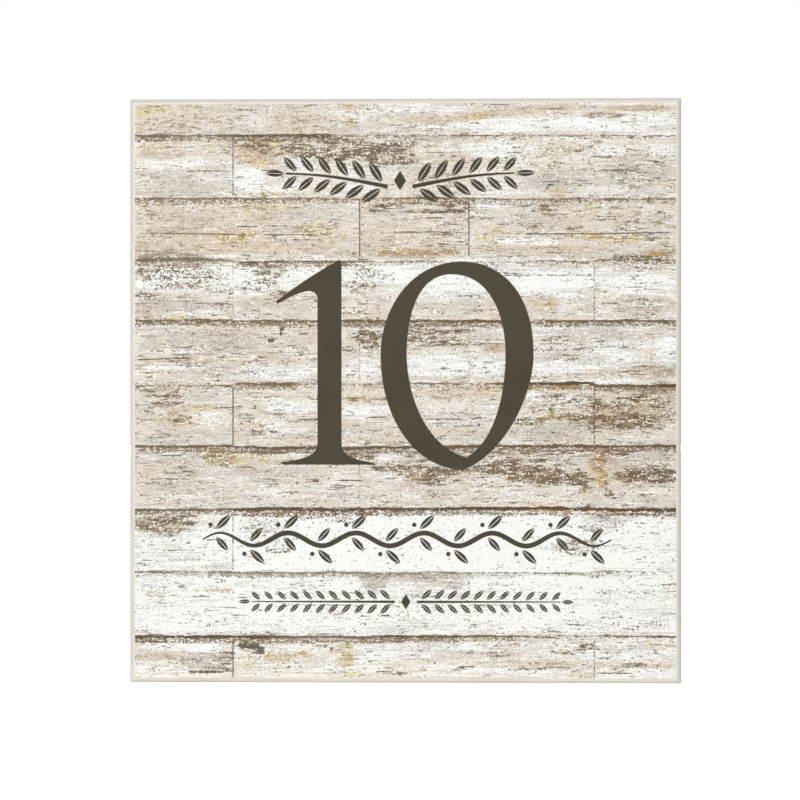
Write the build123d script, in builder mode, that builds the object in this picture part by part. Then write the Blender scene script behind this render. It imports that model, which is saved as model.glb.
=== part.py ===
"""House number plaque: a glazed ceramic plate with a whitewashed plank print and a large number.

The plaque stands upright. Its printed face looks towards -Y, its back lies on the wall in the plane Y = 0,
and the origin is the centre of that back. Sketches are drawn on Plane.XZ, so their first coordinate is X,
their second is Z, and they are extruded away from the wall. All sizes are in millimetres.
"""

import os

from build123d import *

# Plate
PLAQUE_WIDTH = 200.0
PLAQUE_HEIGHT = 212.0
PLAQUE_THICKNESS = 8.0
CORNER_RADIUS = 0.4
FRONT_EDGE_RADIUS = 1.7
BACK_EDGE_RADIUS = 0.6

# Pressed back: a flat land round a shallow field, which ribs divide into pockets that key into the adhesive
BACK_LAND = 10.0
FIELD_CORNER_RADIUS = 6.0
RIB_WIDTH = 3.0
POCKET_DEPTH = 0.5
POCKET_DRAFT = 25.0
POCKET_COLUMNS = 8
POCKET_ROWS = 8

# Fired print, flush with the face, and the ink of the number on top of it
PRINT_MARGIN = 0.2
PRINT_THICKNESS = 0.2
INK_THICKNESS = 0.1

# Planks of the print: rows counted from the top, with two end joints in each row
TOP_ROW_HEIGHT = 13.1
BOARD_PITCH = 22.72
SEAM_WIDTH = 1.6
JOINT_WIDTH = 0.5
LONG_BOARD_START = 37.6
LONG_BOARD_LENGTH = 131.0
SHORT_BOARD_START = 83.6
SHORT_BOARD_LENGTH = 39.6

# Boards that keep their white paint: all from a row on, and some above it, as (row, place from the left)
FIRST_WHITE_ROW = 7
UPPER_WHITE_BOARDS = {(0, 2), (3, 1), (3, 2), (4, 2)}

# Boards worn to brown
WORN_BOARDS = {(5, 2), (6, 1), (6, 2)}

# Number: both digits stand on one baseline, measured from the middle of the plaque
NUMBER_BASELINE = -26.8
NUMBER_HEIGHT = 74.0

# Digit one: a stem with a flag at the top and bracketed serifs at the foot
ONE_STEM_CENTRE = -27.35
ONE_STEM_WIDTH = 8.7
ONE_TOP_CUT = 1.1
ONE_TOP_RISE = 0.2
FLAG_REACH = 15.2
FLAG_DROP = 14.8
FLAG_FULLNESS = 0.5
FLAG_TIP = 0.8
FLAG_ROOT = 11.0
FLAG_HOLLOW = 3.5
FLAG_CORNER_RADIUS = 3.0
FOOT_LEFT_REACH = 13.4
FOOT_RIGHT_REACH = 11.8
FOOT_TIP = 0.9
FOOT_BRACKET = 8.0

# Digit zero: a stressed oval whose counter ends in a point at the bottom
ZERO_CENTRE = 18.9
ZERO_WIDTH = 55.4
ZERO_TOP_DROP = 0.4
ZERO_OVERSHOOT = 1.9
ZERO_WAIST = 40.0
ZERO_LEFT_STROKE = 9.45
ZERO_RIGHT_STROKE = 10.15
ZERO_TOP_STROKE = 4.6
ZERO_BOTTOM_STROKE = 4.5
ZERO_CROWN_SHIFT = 1.9
ZERO_FOOT_SHIFT = 2.4
ZERO_COUNTER_CROWN_SHIFT = -1.9
ZERO_COUNTER_TIP_SHIFT = 3.4

half_width = PLAQUE_WIDTH / 2
half_height = PLAQUE_HEIGHT / 2
print_border = FRONT_EDGE_RADIUS + PRINT_MARGIN
print_width = PLAQUE_WIDTH - 2 * print_border
print_height = PLAQUE_HEIGHT - 2 * print_border
print_plane = Plane.XZ.offset(PLAQUE_THICKNESS - PRINT_THICKNESS)
face_plane = Plane.XZ.offset(PLAQUE_THICKNESS)

os.makedirs("parts", exist_ok=True)

# Ceramic plate
field_width = PLAQUE_WIDTH - 2 * BACK_LAND
field_height = PLAQUE_HEIGHT - 2 * BACK_LAND
column_pitch = (field_width + RIB_WIDTH) / POCKET_COLUMNS
row_pitch = (field_height + RIB_WIDTH) / POCKET_ROWS

with BuildPart() as plaque:
    with BuildSketch(Plane.XZ):
        RectangleRounded(PLAQUE_WIDTH, PLAQUE_HEIGHT, CORNER_RADIUS)
    extrude(amount=PLAQUE_THICKNESS)
    fillet(plaque.faces().sort_by(Axis.Y)[0].edges(), radius=FRONT_EDGE_RADIUS)
    fillet(plaque.faces().sort_by(Axis.Y)[-1].edges(), radius=BACK_EDGE_RADIUS)
    with BuildSketch(face_plane):
        Rectangle(print_width, print_height)
    extrude(amount=-PRINT_THICKNESS, mode=Mode.SUBTRACT)
    with BuildSketch(Plane.XZ):
        RectangleRounded(field_width, field_height, FIELD_CORNER_RADIUS)
        with GridLocations(column_pitch, 0, POCKET_COLUMNS - 1, 1):
            Rectangle(RIB_WIDTH, field_height, mode=Mode.SUBTRACT)
        with GridLocations(0, row_pitch, 1, POCKET_ROWS - 1):
            Rectangle(field_width, RIB_WIDTH, mode=Mode.SUBTRACT)
    extrude(amount=POCKET_DEPTH, taper=POCKET_DRAFT, mode=Mode.SUBTRACT)
plaque.part.label = "plaque"
export_step(plaque.part, "parts/plaque.step")


# Layout of the print
def row_bands():
    """Lowest and highest Z of each row of planks, from the top row down."""
    high = print_height / 2
    seam = half_height - TOP_ROW_HEIGHT
    while seam - SEAM_WIDTH > -print_height / 2:
        yield seam + SEAM_WIDTH / 2, high
        high = seam - SEAM_WIDTH / 2
        seam -= BOARD_PITCH
    yield -print_height / 2, high


def row_boards(row):
    """Left and right end of each board in a row: rows with a long and with a short middle board alternate."""
    if row % 2:
        start, length = LONG_BOARD_START, LONG_BOARD_LENGTH
    else:
        start, length = SHORT_BOARD_START, SHORT_BOARD_LENGTH
    left = -print_width / 2
    for joint in (start - half_width, start + length - half_width):
        if left < joint - JOINT_WIDTH and joint + JOINT_WIDTH < print_width / 2:
            yield left, joint - JOINT_WIDTH / 2
            left = joint + JOINT_WIDTH / 2
    yield left, print_width / 2


boards = {
    (row, place): (left, right, low, high)
    for row, (low, high) in enumerate(row_bands())
    for place, (left, right) in enumerate(row_boards(row))
}


def tint(place):
    """The colour field that a board belongs to."""
    if place in WORN_BOARDS:
        return "worn"
    if place[0] >= FIRST_WHITE_ROW or place in UPPER_WHITE_BOARDS:
        return "white"
    return "beige"


def draw_boards(places, mode=Mode.ADD):
    """Draws the boards at the given places into the sketch that is being made."""
    for left, right, low, high in (boards[place] for place in places):
        with Locations(((left + right) / 2, (low + high) / 2)):
            Rectangle(right - left, high - low, mode=mode)


# Boards by the colour of their field
with BuildPart() as beige_boards:
    with BuildSketch(print_plane):
        draw_boards([place for place in boards if tint(place) == "beige"])
    extrude(amount=PRINT_THICKNESS)
beige_boards.part.label = "beige_boards"
export_step(beige_boards.part, "parts/beige_boards.step")

with BuildPart() as white_boards:
    with BuildSketch(print_plane):
        draw_boards([place for place in boards if tint(place) == "white"])
    extrude(amount=PRINT_THICKNESS)
white_boards.part.label = "white_boards"
export_step(white_boards.part, "parts/white_boards.step")

with BuildPart() as worn_boards:
    with BuildSketch(print_plane):
        draw_boards([place for place in boards if tint(place) == "worn"])
    extrude(amount=PRINT_THICKNESS)
worn_boards.part.label = "worn_boards"
export_step(worn_boards.part, "parts/worn_boards.step")

# Dark lines between the boards, in one lattice
with BuildPart() as board_seams:
    with BuildSketch(print_plane):
        Rectangle(print_width, print_height)
        draw_boards(boards, mode=Mode.SUBTRACT)
    extrude(amount=PRINT_THICKNESS)
board_seams.part.label = "board_seams"
export_step(board_seams.part, "parts/board_seams.step")


# Number
def quarter(side, end, side_pull, end_pull, end_rise=0.0):
    """A quarter of an oval, from an upright tangent at its side to a level one at its end.

    The pulls set how full it is, as shares of its height and width. A rise tilts the tangent at the end.
    """
    (x0, z0), (x1, z1) = side, end
    Bezier(
        (x0, z0),
        (x0, z0 + side_pull * (z1 - z0)),
        (x1 - end_pull * (x1 - x0), z1 - end_rise * (z1 - z0)),
        (x1, z1),
    )


number_top = NUMBER_BASELINE + NUMBER_HEIGHT

# Digit one
stem_left = ONE_STEM_CENTRE - ONE_STEM_WIDTH / 2
stem_right = ONE_STEM_CENTRE + ONE_STEM_WIDTH / 2
top_right = (stem_right, number_top)
top_peak = (stem_right - ONE_TOP_CUT, number_top + ONE_TOP_RISE)
flag_tip = (stem_left - FLAG_REACH, number_top - FLAG_DROP)
flag_tip_under = (flag_tip[0] + FLAG_TIP, flag_tip[1] - FLAG_TIP)
flag_under = number_top - FLAG_ROOT
flag_corner = (stem_left - FLAG_CORNER_RADIUS, flag_under)
stem_under_flag = (stem_left, flag_under - FLAG_CORNER_RADIUS)
bracket_left = (stem_left, NUMBER_BASELINE + FOOT_BRACKET)
bracket_right = (stem_right, NUMBER_BASELINE + FOOT_BRACKET)
foot_left = (stem_left - FOOT_LEFT_REACH, NUMBER_BASELINE + FOOT_TIP)
foot_left_under = (foot_left[0] + FOOT_TIP, NUMBER_BASELINE)
foot_right = (stem_right + FOOT_RIGHT_REACH - FOOT_TIP, NUMBER_BASELINE + FOOT_TIP)
foot_right_under = (stem_right + FOOT_RIGHT_REACH, NUMBER_BASELINE)

with BuildPart() as digit_one:
    with BuildSketch(face_plane):
        with BuildLine():
            Polyline(foot_left, foot_left_under, foot_right_under, foot_right)
            quarter(bracket_right, foot_right, side_pull=0.7, end_pull=0.5, end_rise=0.09)
            Polyline(bracket_right, top_right, top_peak)
            SagittaArc(top_peak, flag_tip, -FLAG_FULLNESS)
            Line(flag_tip, flag_tip_under)
            Bezier(flag_tip_under, (flag_corner[0] - FLAG_HOLLOW, flag_under), flag_corner)
            quarter(stem_under_flag, flag_corner, side_pull=0.6, end_pull=0.6)
            Line(stem_under_flag, bracket_left)
            quarter(bracket_left, foot_left, side_pull=0.7, end_pull=0.6, end_rise=0.13)
        make_face()
    extrude(amount=INK_THICKNESS)
digit_one.part.label = "digit_one"
export_step(digit_one.part, "parts/digit_one.step")

# Digit zero
zero_left = ZERO_CENTRE - ZERO_WIDTH / 2
zero_right = ZERO_CENTRE + ZERO_WIDTH / 2
zero_top = number_top - ZERO_TOP_DROP
zero_bottom = NUMBER_BASELINE - ZERO_OVERSHOOT
zero_waist = NUMBER_BASELINE + ZERO_WAIST
outer_left = (zero_left, zero_waist)
outer_right = (zero_right, zero_waist)
outer_top = (ZERO_CENTRE + ZERO_CROWN_SHIFT, zero_top)
outer_bottom = (ZERO_CENTRE + ZERO_FOOT_SHIFT, zero_bottom)
counter_left = (zero_left + ZERO_LEFT_STROKE, zero_waist)
counter_right = (zero_right - ZERO_RIGHT_STROKE, zero_waist)
counter_top = (ZERO_CENTRE + ZERO_COUNTER_CROWN_SHIFT, zero_top - ZERO_TOP_STROKE)
counter_tip = (ZERO_CENTRE + ZERO_COUNTER_TIP_SHIFT, zero_bottom + ZERO_BOTTOM_STROKE)

with BuildPart() as digit_zero:
    with BuildSketch(face_plane):
        with BuildLine():
            quarter(outer_left, outer_top, side_pull=0.46, end_pull=0.66)
            quarter(outer_right, outer_top, side_pull=0.74, end_pull=0.46)
            quarter(outer_right, outer_bottom, side_pull=0.34, end_pull=0.61, end_rise=0.15)
            quarter(outer_left, outer_bottom, side_pull=0.62, end_pull=0.51)
        make_face()
        with BuildLine():
            quarter(counter_left, counter_top, side_pull=0.46, end_pull=0.78)
            quarter(counter_right, counter_top, side_pull=0.50, end_pull=0.70)
            quarter(counter_right, counter_tip, side_pull=0.44, end_pull=0.67, end_rise=0.15)
            quarter(counter_left, counter_tip, side_pull=0.36, end_pull=0.72, end_rise=0.12)
        make_face(mode=Mode.SUBTRACT)
    extrude(amount=INK_THICKNESS)
digit_zero.part.label = "digit_zero"
export_step(digit_zero.part, "parts/digit_zero.step")
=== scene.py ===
# %% [markdown]
# House number plaque
# The real object is one pressed ceramic tile with softly rounded front edges. Its face carries a
# fired print of whitewashed planks, and over that a number and a few ornaments in dark ink.
# The solids come from the packed frame. This lesson gives them their surfaces: it lays the print
# out in planks, spreads paint, wear and stains over them, draws the ornaments, glazes the tile and
# lights it as in a studio.

# %% Load the frame
import math

import bpy
import numpy as np
from mathutils import Matrix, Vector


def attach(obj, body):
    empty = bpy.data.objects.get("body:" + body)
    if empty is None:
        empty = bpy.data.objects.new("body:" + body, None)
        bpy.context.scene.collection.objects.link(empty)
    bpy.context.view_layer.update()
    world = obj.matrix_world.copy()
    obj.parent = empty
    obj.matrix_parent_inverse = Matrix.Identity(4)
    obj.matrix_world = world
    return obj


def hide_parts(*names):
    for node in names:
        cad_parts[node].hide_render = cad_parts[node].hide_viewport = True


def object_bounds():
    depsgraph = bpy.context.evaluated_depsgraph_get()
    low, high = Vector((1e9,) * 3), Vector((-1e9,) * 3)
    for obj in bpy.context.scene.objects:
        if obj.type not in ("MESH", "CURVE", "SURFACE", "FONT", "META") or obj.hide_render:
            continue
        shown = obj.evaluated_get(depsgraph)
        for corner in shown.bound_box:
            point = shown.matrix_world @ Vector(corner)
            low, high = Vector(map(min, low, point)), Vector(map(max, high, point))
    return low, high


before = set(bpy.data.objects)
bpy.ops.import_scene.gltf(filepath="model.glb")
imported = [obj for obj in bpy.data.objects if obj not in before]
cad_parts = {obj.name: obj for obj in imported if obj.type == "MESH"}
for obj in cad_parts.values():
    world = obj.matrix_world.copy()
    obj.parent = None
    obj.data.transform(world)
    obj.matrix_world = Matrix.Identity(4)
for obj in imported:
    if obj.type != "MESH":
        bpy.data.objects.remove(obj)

MM = 0.001
CAD_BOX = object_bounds()
print("nodes:", ", ".join(sorted(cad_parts)))

# %% [markdown]
# Reading the planks from the frame
# The print is a thin layer that lies flush in a shallow recess of the tile. In the frame it is four
# nodes: beige, white and worn planks, and the dark seams between them. The planks could be typed in
# again as numbers, but a copy of each node, parted into its loose solids, gives their exact boxes.
# Points that lie closer than a thousandth of a millimetre count as touching.

# %% Boxes of the planks
TOUCHING = 0.001


def select_only(*things):
    """Go to object mode with just these objects selected, the first of them active."""
    if bpy.context.object and bpy.context.object.mode == "EDIT":
        bpy.ops.object.mode_set(mode="OBJECT")
    bpy.ops.object.select_all(action="DESELECT")
    for thing in things:
        thing.select_set(True)
    bpy.context.view_layer.objects.active = things[0] if things else None


def solid_boxes(node):
    """Lowest and highest corner, in millimetres, of every separate solid in a node."""
    copy = bpy.data.objects.new("measured_copy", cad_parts[node].data.copy())
    bpy.context.collection.objects.link(copy)
    select_only(copy)
    bpy.ops.object.mode_set(mode="EDIT")
    bpy.ops.mesh.select_all(action="SELECT")
    bpy.ops.mesh.remove_doubles(threshold=TOUCHING * MM)
    bpy.ops.mesh.separate(type="LOOSE")
    bpy.ops.object.mode_set(mode="OBJECT")
    boxes = []
    for solid in list(bpy.context.selected_objects):
        corners = np.array([vertex.co for vertex in solid.data.vertices]) / MM
        boxes.append((corners.min(axis=0), corners.max(axis=0)))
        bpy.data.objects.remove(solid)
    return boxes


PLANK_NODES = {
    "beige_planks": "beige_boards",
    "white_planks": "white_boards",
    "worn_planks": "worn_boards",
}
plank_boxes = {piece: solid_boxes(node) for piece, node in PLANK_NODES.items()}
every_plank = [box for boxes in plank_boxes.values() for box in boxes]
PRINT_LOW = np.min([low for low, high in every_plank], axis=0)
PRINT_HIGH = np.max([high for low, high in every_plank], axis=0)
print(len(every_plank), "planks, print", np.round(PRINT_HIGH - PRINT_LOW, 2), "mm")

# %% [markdown]
# Rows, seams and joints
# Planks lie in rows, from the top down. Between two rows runs a seam, and between two planks of a
# row stands a thin joint. Both follow from the planks' own boxes, so nothing is measured twice.

# %% Rows from the boxes
tops = sorted({round(float(high[2]), 2) for low, high in every_plank}, reverse=True)
rows = []
for top in tops:
    row = [box for box in every_plank if round(float(box[1][2]), 2) == top]
    rows.append(sorted(row, key=lambda box: box[0][0]))
row_low = [float(row[0][0][2]) for row in rows]
row_high = [float(row[0][1][2]) for row in rows]
SEAM_HEIGHTS = [(low + high) / 2 for low, high in zip(row_low[:-1], row_high[1:])]

seam_boxes = []
for low_edge, high_edge in zip(row_high[1:], row_low[:-1]):
    low = np.array([PRINT_LOW[0], PRINT_LOW[1], low_edge])
    high = np.array([PRINT_HIGH[0], PRINT_HIGH[1], high_edge])
    seam_boxes.append((low, high))
joint_boxes = []
for number, row in enumerate(rows):
    for left, right in zip(row, row[1:]):
        low = np.array([left[1][0], PRINT_LOW[1], row_low[number]])
        high = np.array([right[0][0], PRINT_HIGH[1], row_high[number]])
        joint_boxes.append((low, high))

# %% [markdown]
# Modelling the print
# A flat plank could be one face, but paint and stains will be painted on its points, so it needs
# many. Each plank starts as a grid at the back of the recess. The grid is drawn to size, pulled
# forward to the print's thickness, and its hidden back is dissolved into one face. The cells are
# long and low, like the grain, so that thin streaks stay thin.

# %% Plank meshes
CELL_LONG = 1.5
CELL_HIGH = 0.36
FACING_BACK = 0.9


def add_slab(low, high):
    """In edit mode, add one flat slab with a fine grid on its front face."""
    centre = ((low + high) / 2) * MM
    size = (high - low) * MM
    place = (centre[0], high[1] * MM, centre[2])
    bpy.ops.mesh.select_all(action="DESELECT")
    bpy.ops.mesh.primitive_grid_add(
        x_subdivisions=max(1, math.ceil(size[0] / (CELL_LONG * MM))),
        y_subdivisions=max(1, math.ceil(size[2] / (CELL_HIGH * MM))),
        size=1.0,
        location=place,
        rotation=(math.radians(90), 0, 0),
    )
    bpy.ops.transform.resize(value=(size[0], 1.0, size[2]), center_override=place)
    bpy.ops.mesh.extrude_region_move(TRANSFORM_OT_translate={"value": (0, -size[1], 0)})


def slab_piece(name, boxes):
    """One object at the origin that holds a slab for each box, closed and facing outwards."""
    piece = bpy.data.objects.new(name, bpy.data.meshes.new(name))
    bpy.context.collection.objects.link(piece)
    select_only(piece)
    bpy.ops.object.mode_set(mode="EDIT")
    for low, high in boxes:
        add_slab(low, high)
    bpy.ops.mesh.select_all(action="SELECT")
    bpy.ops.mesh.normals_make_consistent(inside=False)
    bpy.ops.object.mode_set(mode="OBJECT")
    for face in piece.data.polygons:
        face.select = face.normal.y > FACING_BACK
    bpy.ops.object.mode_set(mode="EDIT")
    bpy.ops.mesh.select_mode(type="FACE")
    bpy.ops.mesh.dissolve_faces()
    bpy.ops.mesh.select_mode(type="VERT")
    bpy.ops.object.mode_set(mode="OBJECT")
    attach(piece, "root")
    print(name, len(boxes), "slabs,", len(piece.data.polygons), "faces")
    return piece


print_pieces = [slab_piece(name, boxes) for name, boxes in plank_boxes.items()]
beige_planks, white_planks, worn_planks = print_pieces
plank_seams = slab_piece("plank_seams", seam_boxes + joint_boxes)
print_pieces.append(plank_seams)

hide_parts("beige_boards")
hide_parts("white_boards")
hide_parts("worn_boards")
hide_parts("board_seams")

# %% [markdown]
# Where the paint lies
# On old whitewashed boards the paint is thick in places and rubbed off in others. That could be left
# to noise alone, but then every board would look like the next. So each mark here is a soft dab, given
# by its place, half its length and half its height in millimetres, then its strength, and where it
# slants, its rise from left to right. The finish breaks the dabs up later, so that none keeps its oval
# outline. All lists run from the top row of planks to the bottom one.

# %% Dabs of whitewash
# Above zero the paint is thicker, below zero the wood is barer
PAINT = [
    (-80, 99, 24, 8, -0.4), (-60, 97.5, 11, 4, 0.4), (-40, 99, 11, 6, -0.7), (-22, 99, 9, 5, 0.5),
    (-3, 102.5, 16, 3, 0.4), (12, 102.5, 14, 2, 0.4), (16, 98.4, 20, 2, -0.8, 2.5),
    (38, 101, 18, 1.8, -0.8, 3), (40, 96.3, 44, 3, 0.8), (56, 102.5, 16, 1.5, -0.8),
    (72, 99.5, 9, 2, -0.8), (76, 97, 26, 3.5, 0.8), (84, 102.3, 16, 1.6, -0.8),
    (-85, 83, 16, 3, 0.5), (-85, 73.5, 16, 3.5, -0.4), (-71, 77, 11, 4, 0.5), (-57, 77, 7, 5.5, 0.9),
    (-54, 87, 10, 6, -0.7), (-44, 74, 12, 2.5, 0.4), (-36, 82, 8, 4, 0.5), (-12, 76, 16, 5, 0.4),
    (-8, 89, 8, 2, 0.3), (12, 80, 15, 8, -0.3), (20, 87, 14, 3, 0.3), (35, 87.5, 14, 4.5, 0.7),
    (52, 88, 9, 3, 0.4), (58, 76, 14, 6, -0.2), (76, 87.5, 8, 3, 0.3), (76, 73.5, 7, 2.5, 0.4),
    (84, 78, 16, 6, -0.25), (90, 88, 8, 3, 0.4),
    (-83, 54.7, 8, 1.2, 0.6), (-66, 49, 9, 1, 0.6), (-60, 62, 42, 8, -0.4), (-60, 51.5, 42, 2.2, -0.8),
    (-33, 48.6, 6, 1.2, 0.8), (4, 57, 22, 8, -0.4), (12, 56, 9, 4, 0.5), (32, 67.3, 8, 2, 0.6),
    (45, 54.2, 16, 1.6, 0.6), (52, 50.8, 30, 2, -0.7), (56, 53, 12, 1.2, 0.6), (62, 62, 26, 6, -0.2),
    (90, 50, 10, 1.4, -0.8),
    (-84, 39.5, 16, 5.5, 0.5), (-80, 41.5, 20, 5, 0.9), (-76, 28.8, 11, 0.9, 0.8, 0.8),
    (-58, 39.5, 14, 6, 0.7), (-45, 31, 18, 4.5, -0.5), (-38, 43.5, 13, 3.5, 0.4),
    (-8, 42.5, 15, 4, 0.8), (0, 42, 110, 7, 0.4), (0, 30, 110, 6, -0.4), (10, 33.5, 10, 2, 0.4),
    (12, 28.3, 14, 1.2, 0.6), (18, 33, 16, 1.2, 0.5), (20, 39, 22, 5, 0.9), (34, 29, 5, 4, -0.8),
    (50, 39, 22, 4.5, 0.9), (50, 32, 8, 4, -0.7), (55, 34, 8, 2, 0.5), (60, 30, 9, 4, 0.4),
    (84, 38.5, 17, 4, 0.8), (84, 31, 15, 1, 0.6, 1.5), (86, 31, 14, 4, -0.4), (92, 30, 7, 3, 0.4),
    (-85, 14.3, 13, 1.4, 0.6), (-85, 8.7, 15, 1, 0.4), (-85, 8.4, 14, 0.8, 0.5),
    (-70, 19, 26, 4.5, -0.4), (-70, 12, 12, 1.2, 0.6), (-54, 5, 14, 1.6, 0.7),
    (-45, 13.5, 14, 1.6, -0.4), (-45, 7.6, 19, 3.4, 0.9), (-40, 5, 8, 2, 0.5), (-36, 20, 14, 3.5, -0.4),
    (-16, 8, 8, 5, 0.5), (7, 3, 6, 1.5, 0.5), (10, 13.5, 14, 2, 0.4), (12, 9, 18, 5, 0.8),
    (31, 9.5, 7, 4, 0.7), (33, 15.5, 7, 2.4, -0.6), (56, 8.5, 14, 3, 0.7), (74, 18, 9, 4, 0.35),
    (75, 12.5, 14, 4, 0.4), (76, 3.7, 14, 0.8, 0.8), (88, 6.6, 12, 3.2, -0.9), (95, 14.5, 5, 7, 0.8),
    (-92, -7, 7, 3, 0.3), (-82, -17, 18, 3, -0.7), (-70, -10.5, 9, 4.5, 0.7), (-50, -12, 6, 2.2, 0.4),
    (-48, -17, 18, 2.5, -0.4), (-47, -5, 8, 3.5, 0.8), (-43, -13.5, 10, 4, 0.6),
    (-37, -5.5, 9, 3.5, 0.7), (-17, -8, 7, 5, 0.4), (-10, -6, 8, 3, 0.5), (18, -15.5, 16, 4, -0.5),
    (20, -6.5, 16, 2, 0.5), (29, -5, 7, 3, 0.4), (47, -2, 4, 2.4, 0.8), (54, -5, 8, 3, 0.4),
    (54, -15, 14, 4, -0.6), (60, -3, 9, 2.5, 0.4), (60, -4, 8, 2.5, 0.5), (78, -3.5, 7, 3, 0.4),
    (84, -17.6, 15, 2, 0.3), (88, -8, 9, 2, 0.2),
    (-85, -28, 16, 6, -0.2), (-77, -38.5, 12, 1, 0.7), (-45, -37, 16, 3.5, 0.4),
    (-40, -23, 8, 1.5, 0.4), (-28, -30, 9, 2.5, 0.3), (-24, -35, 6, 3, 0.6), (-6, -24, 7, 2, 0.7),
    (-4, -31, 6, 2.5, 0.5), (0, -38, 8, 2, 0.4), (36, -37, 12, 2, 0.4), (45, -38.5, 18, 2, 0.7),
    (50, -25.5, 14, 1.5, 0.5), (82, -36.5, 14, 1.4, 0.3), (84, -25, 12, 2, 0.4),
    (-90, -49, 10, 3.5, -0.6), (-89, -48.5, 15, 5, -0.7), (-77, -46.5, 14, 3, -0.4),
    (-51, -50, 11, 7, -0.5), (-46, -55, 8, 4, -0.4), (0, -60, 98, 5, 0.4), (20, -50, 60, 5, 0.3),
    (61, -56.5, 10, 4.5, -0.4), (71, -48, 10, 4.5, -0.5),
    (-11, -69, 6, 3, -0.5), (0, -80, 98, 6, 0.3), (60, -69, 40, 2.5, 0.5),
    (-90, -92, 10, 2.5, 0.6), (-90, -96.5, 9, 2, -0.7), (-76, -93, 12, 2.4, 0.5),
    (-73, -93, 10, 3, 0.6), (-72, -97.5, 12, 4, -0.4), (-40, -93, 8, 2, 0.3), (-22, -96, 5, 6, -0.5),
    (-8, -95, 10, 4, 0.4), (5, -95, 10, 2.5, 0.3), (10, -103, 12, 1.2, 0.4), (20, -93, 12, 2, 0.4),
    (30, -99.5, 14, 2, 0.4), (42, -99, 34, 1.8, -0.4), (46, -102.6, 12, 1.2, 0.4),
    (85, -96, 12, 2, 0.3), (85, -99.6, 14, 1.2, -0.6),
]
print(len(PAINT), "dabs of whitewash")

# %% [markdown]
# Where the wood is worn
# Wear takes off the paint and shows dark bare wood in specks and flakes, often just under a seam. It has
# a list of its own, because a place can be both painted and worn: there the paint is chipped.

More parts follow.
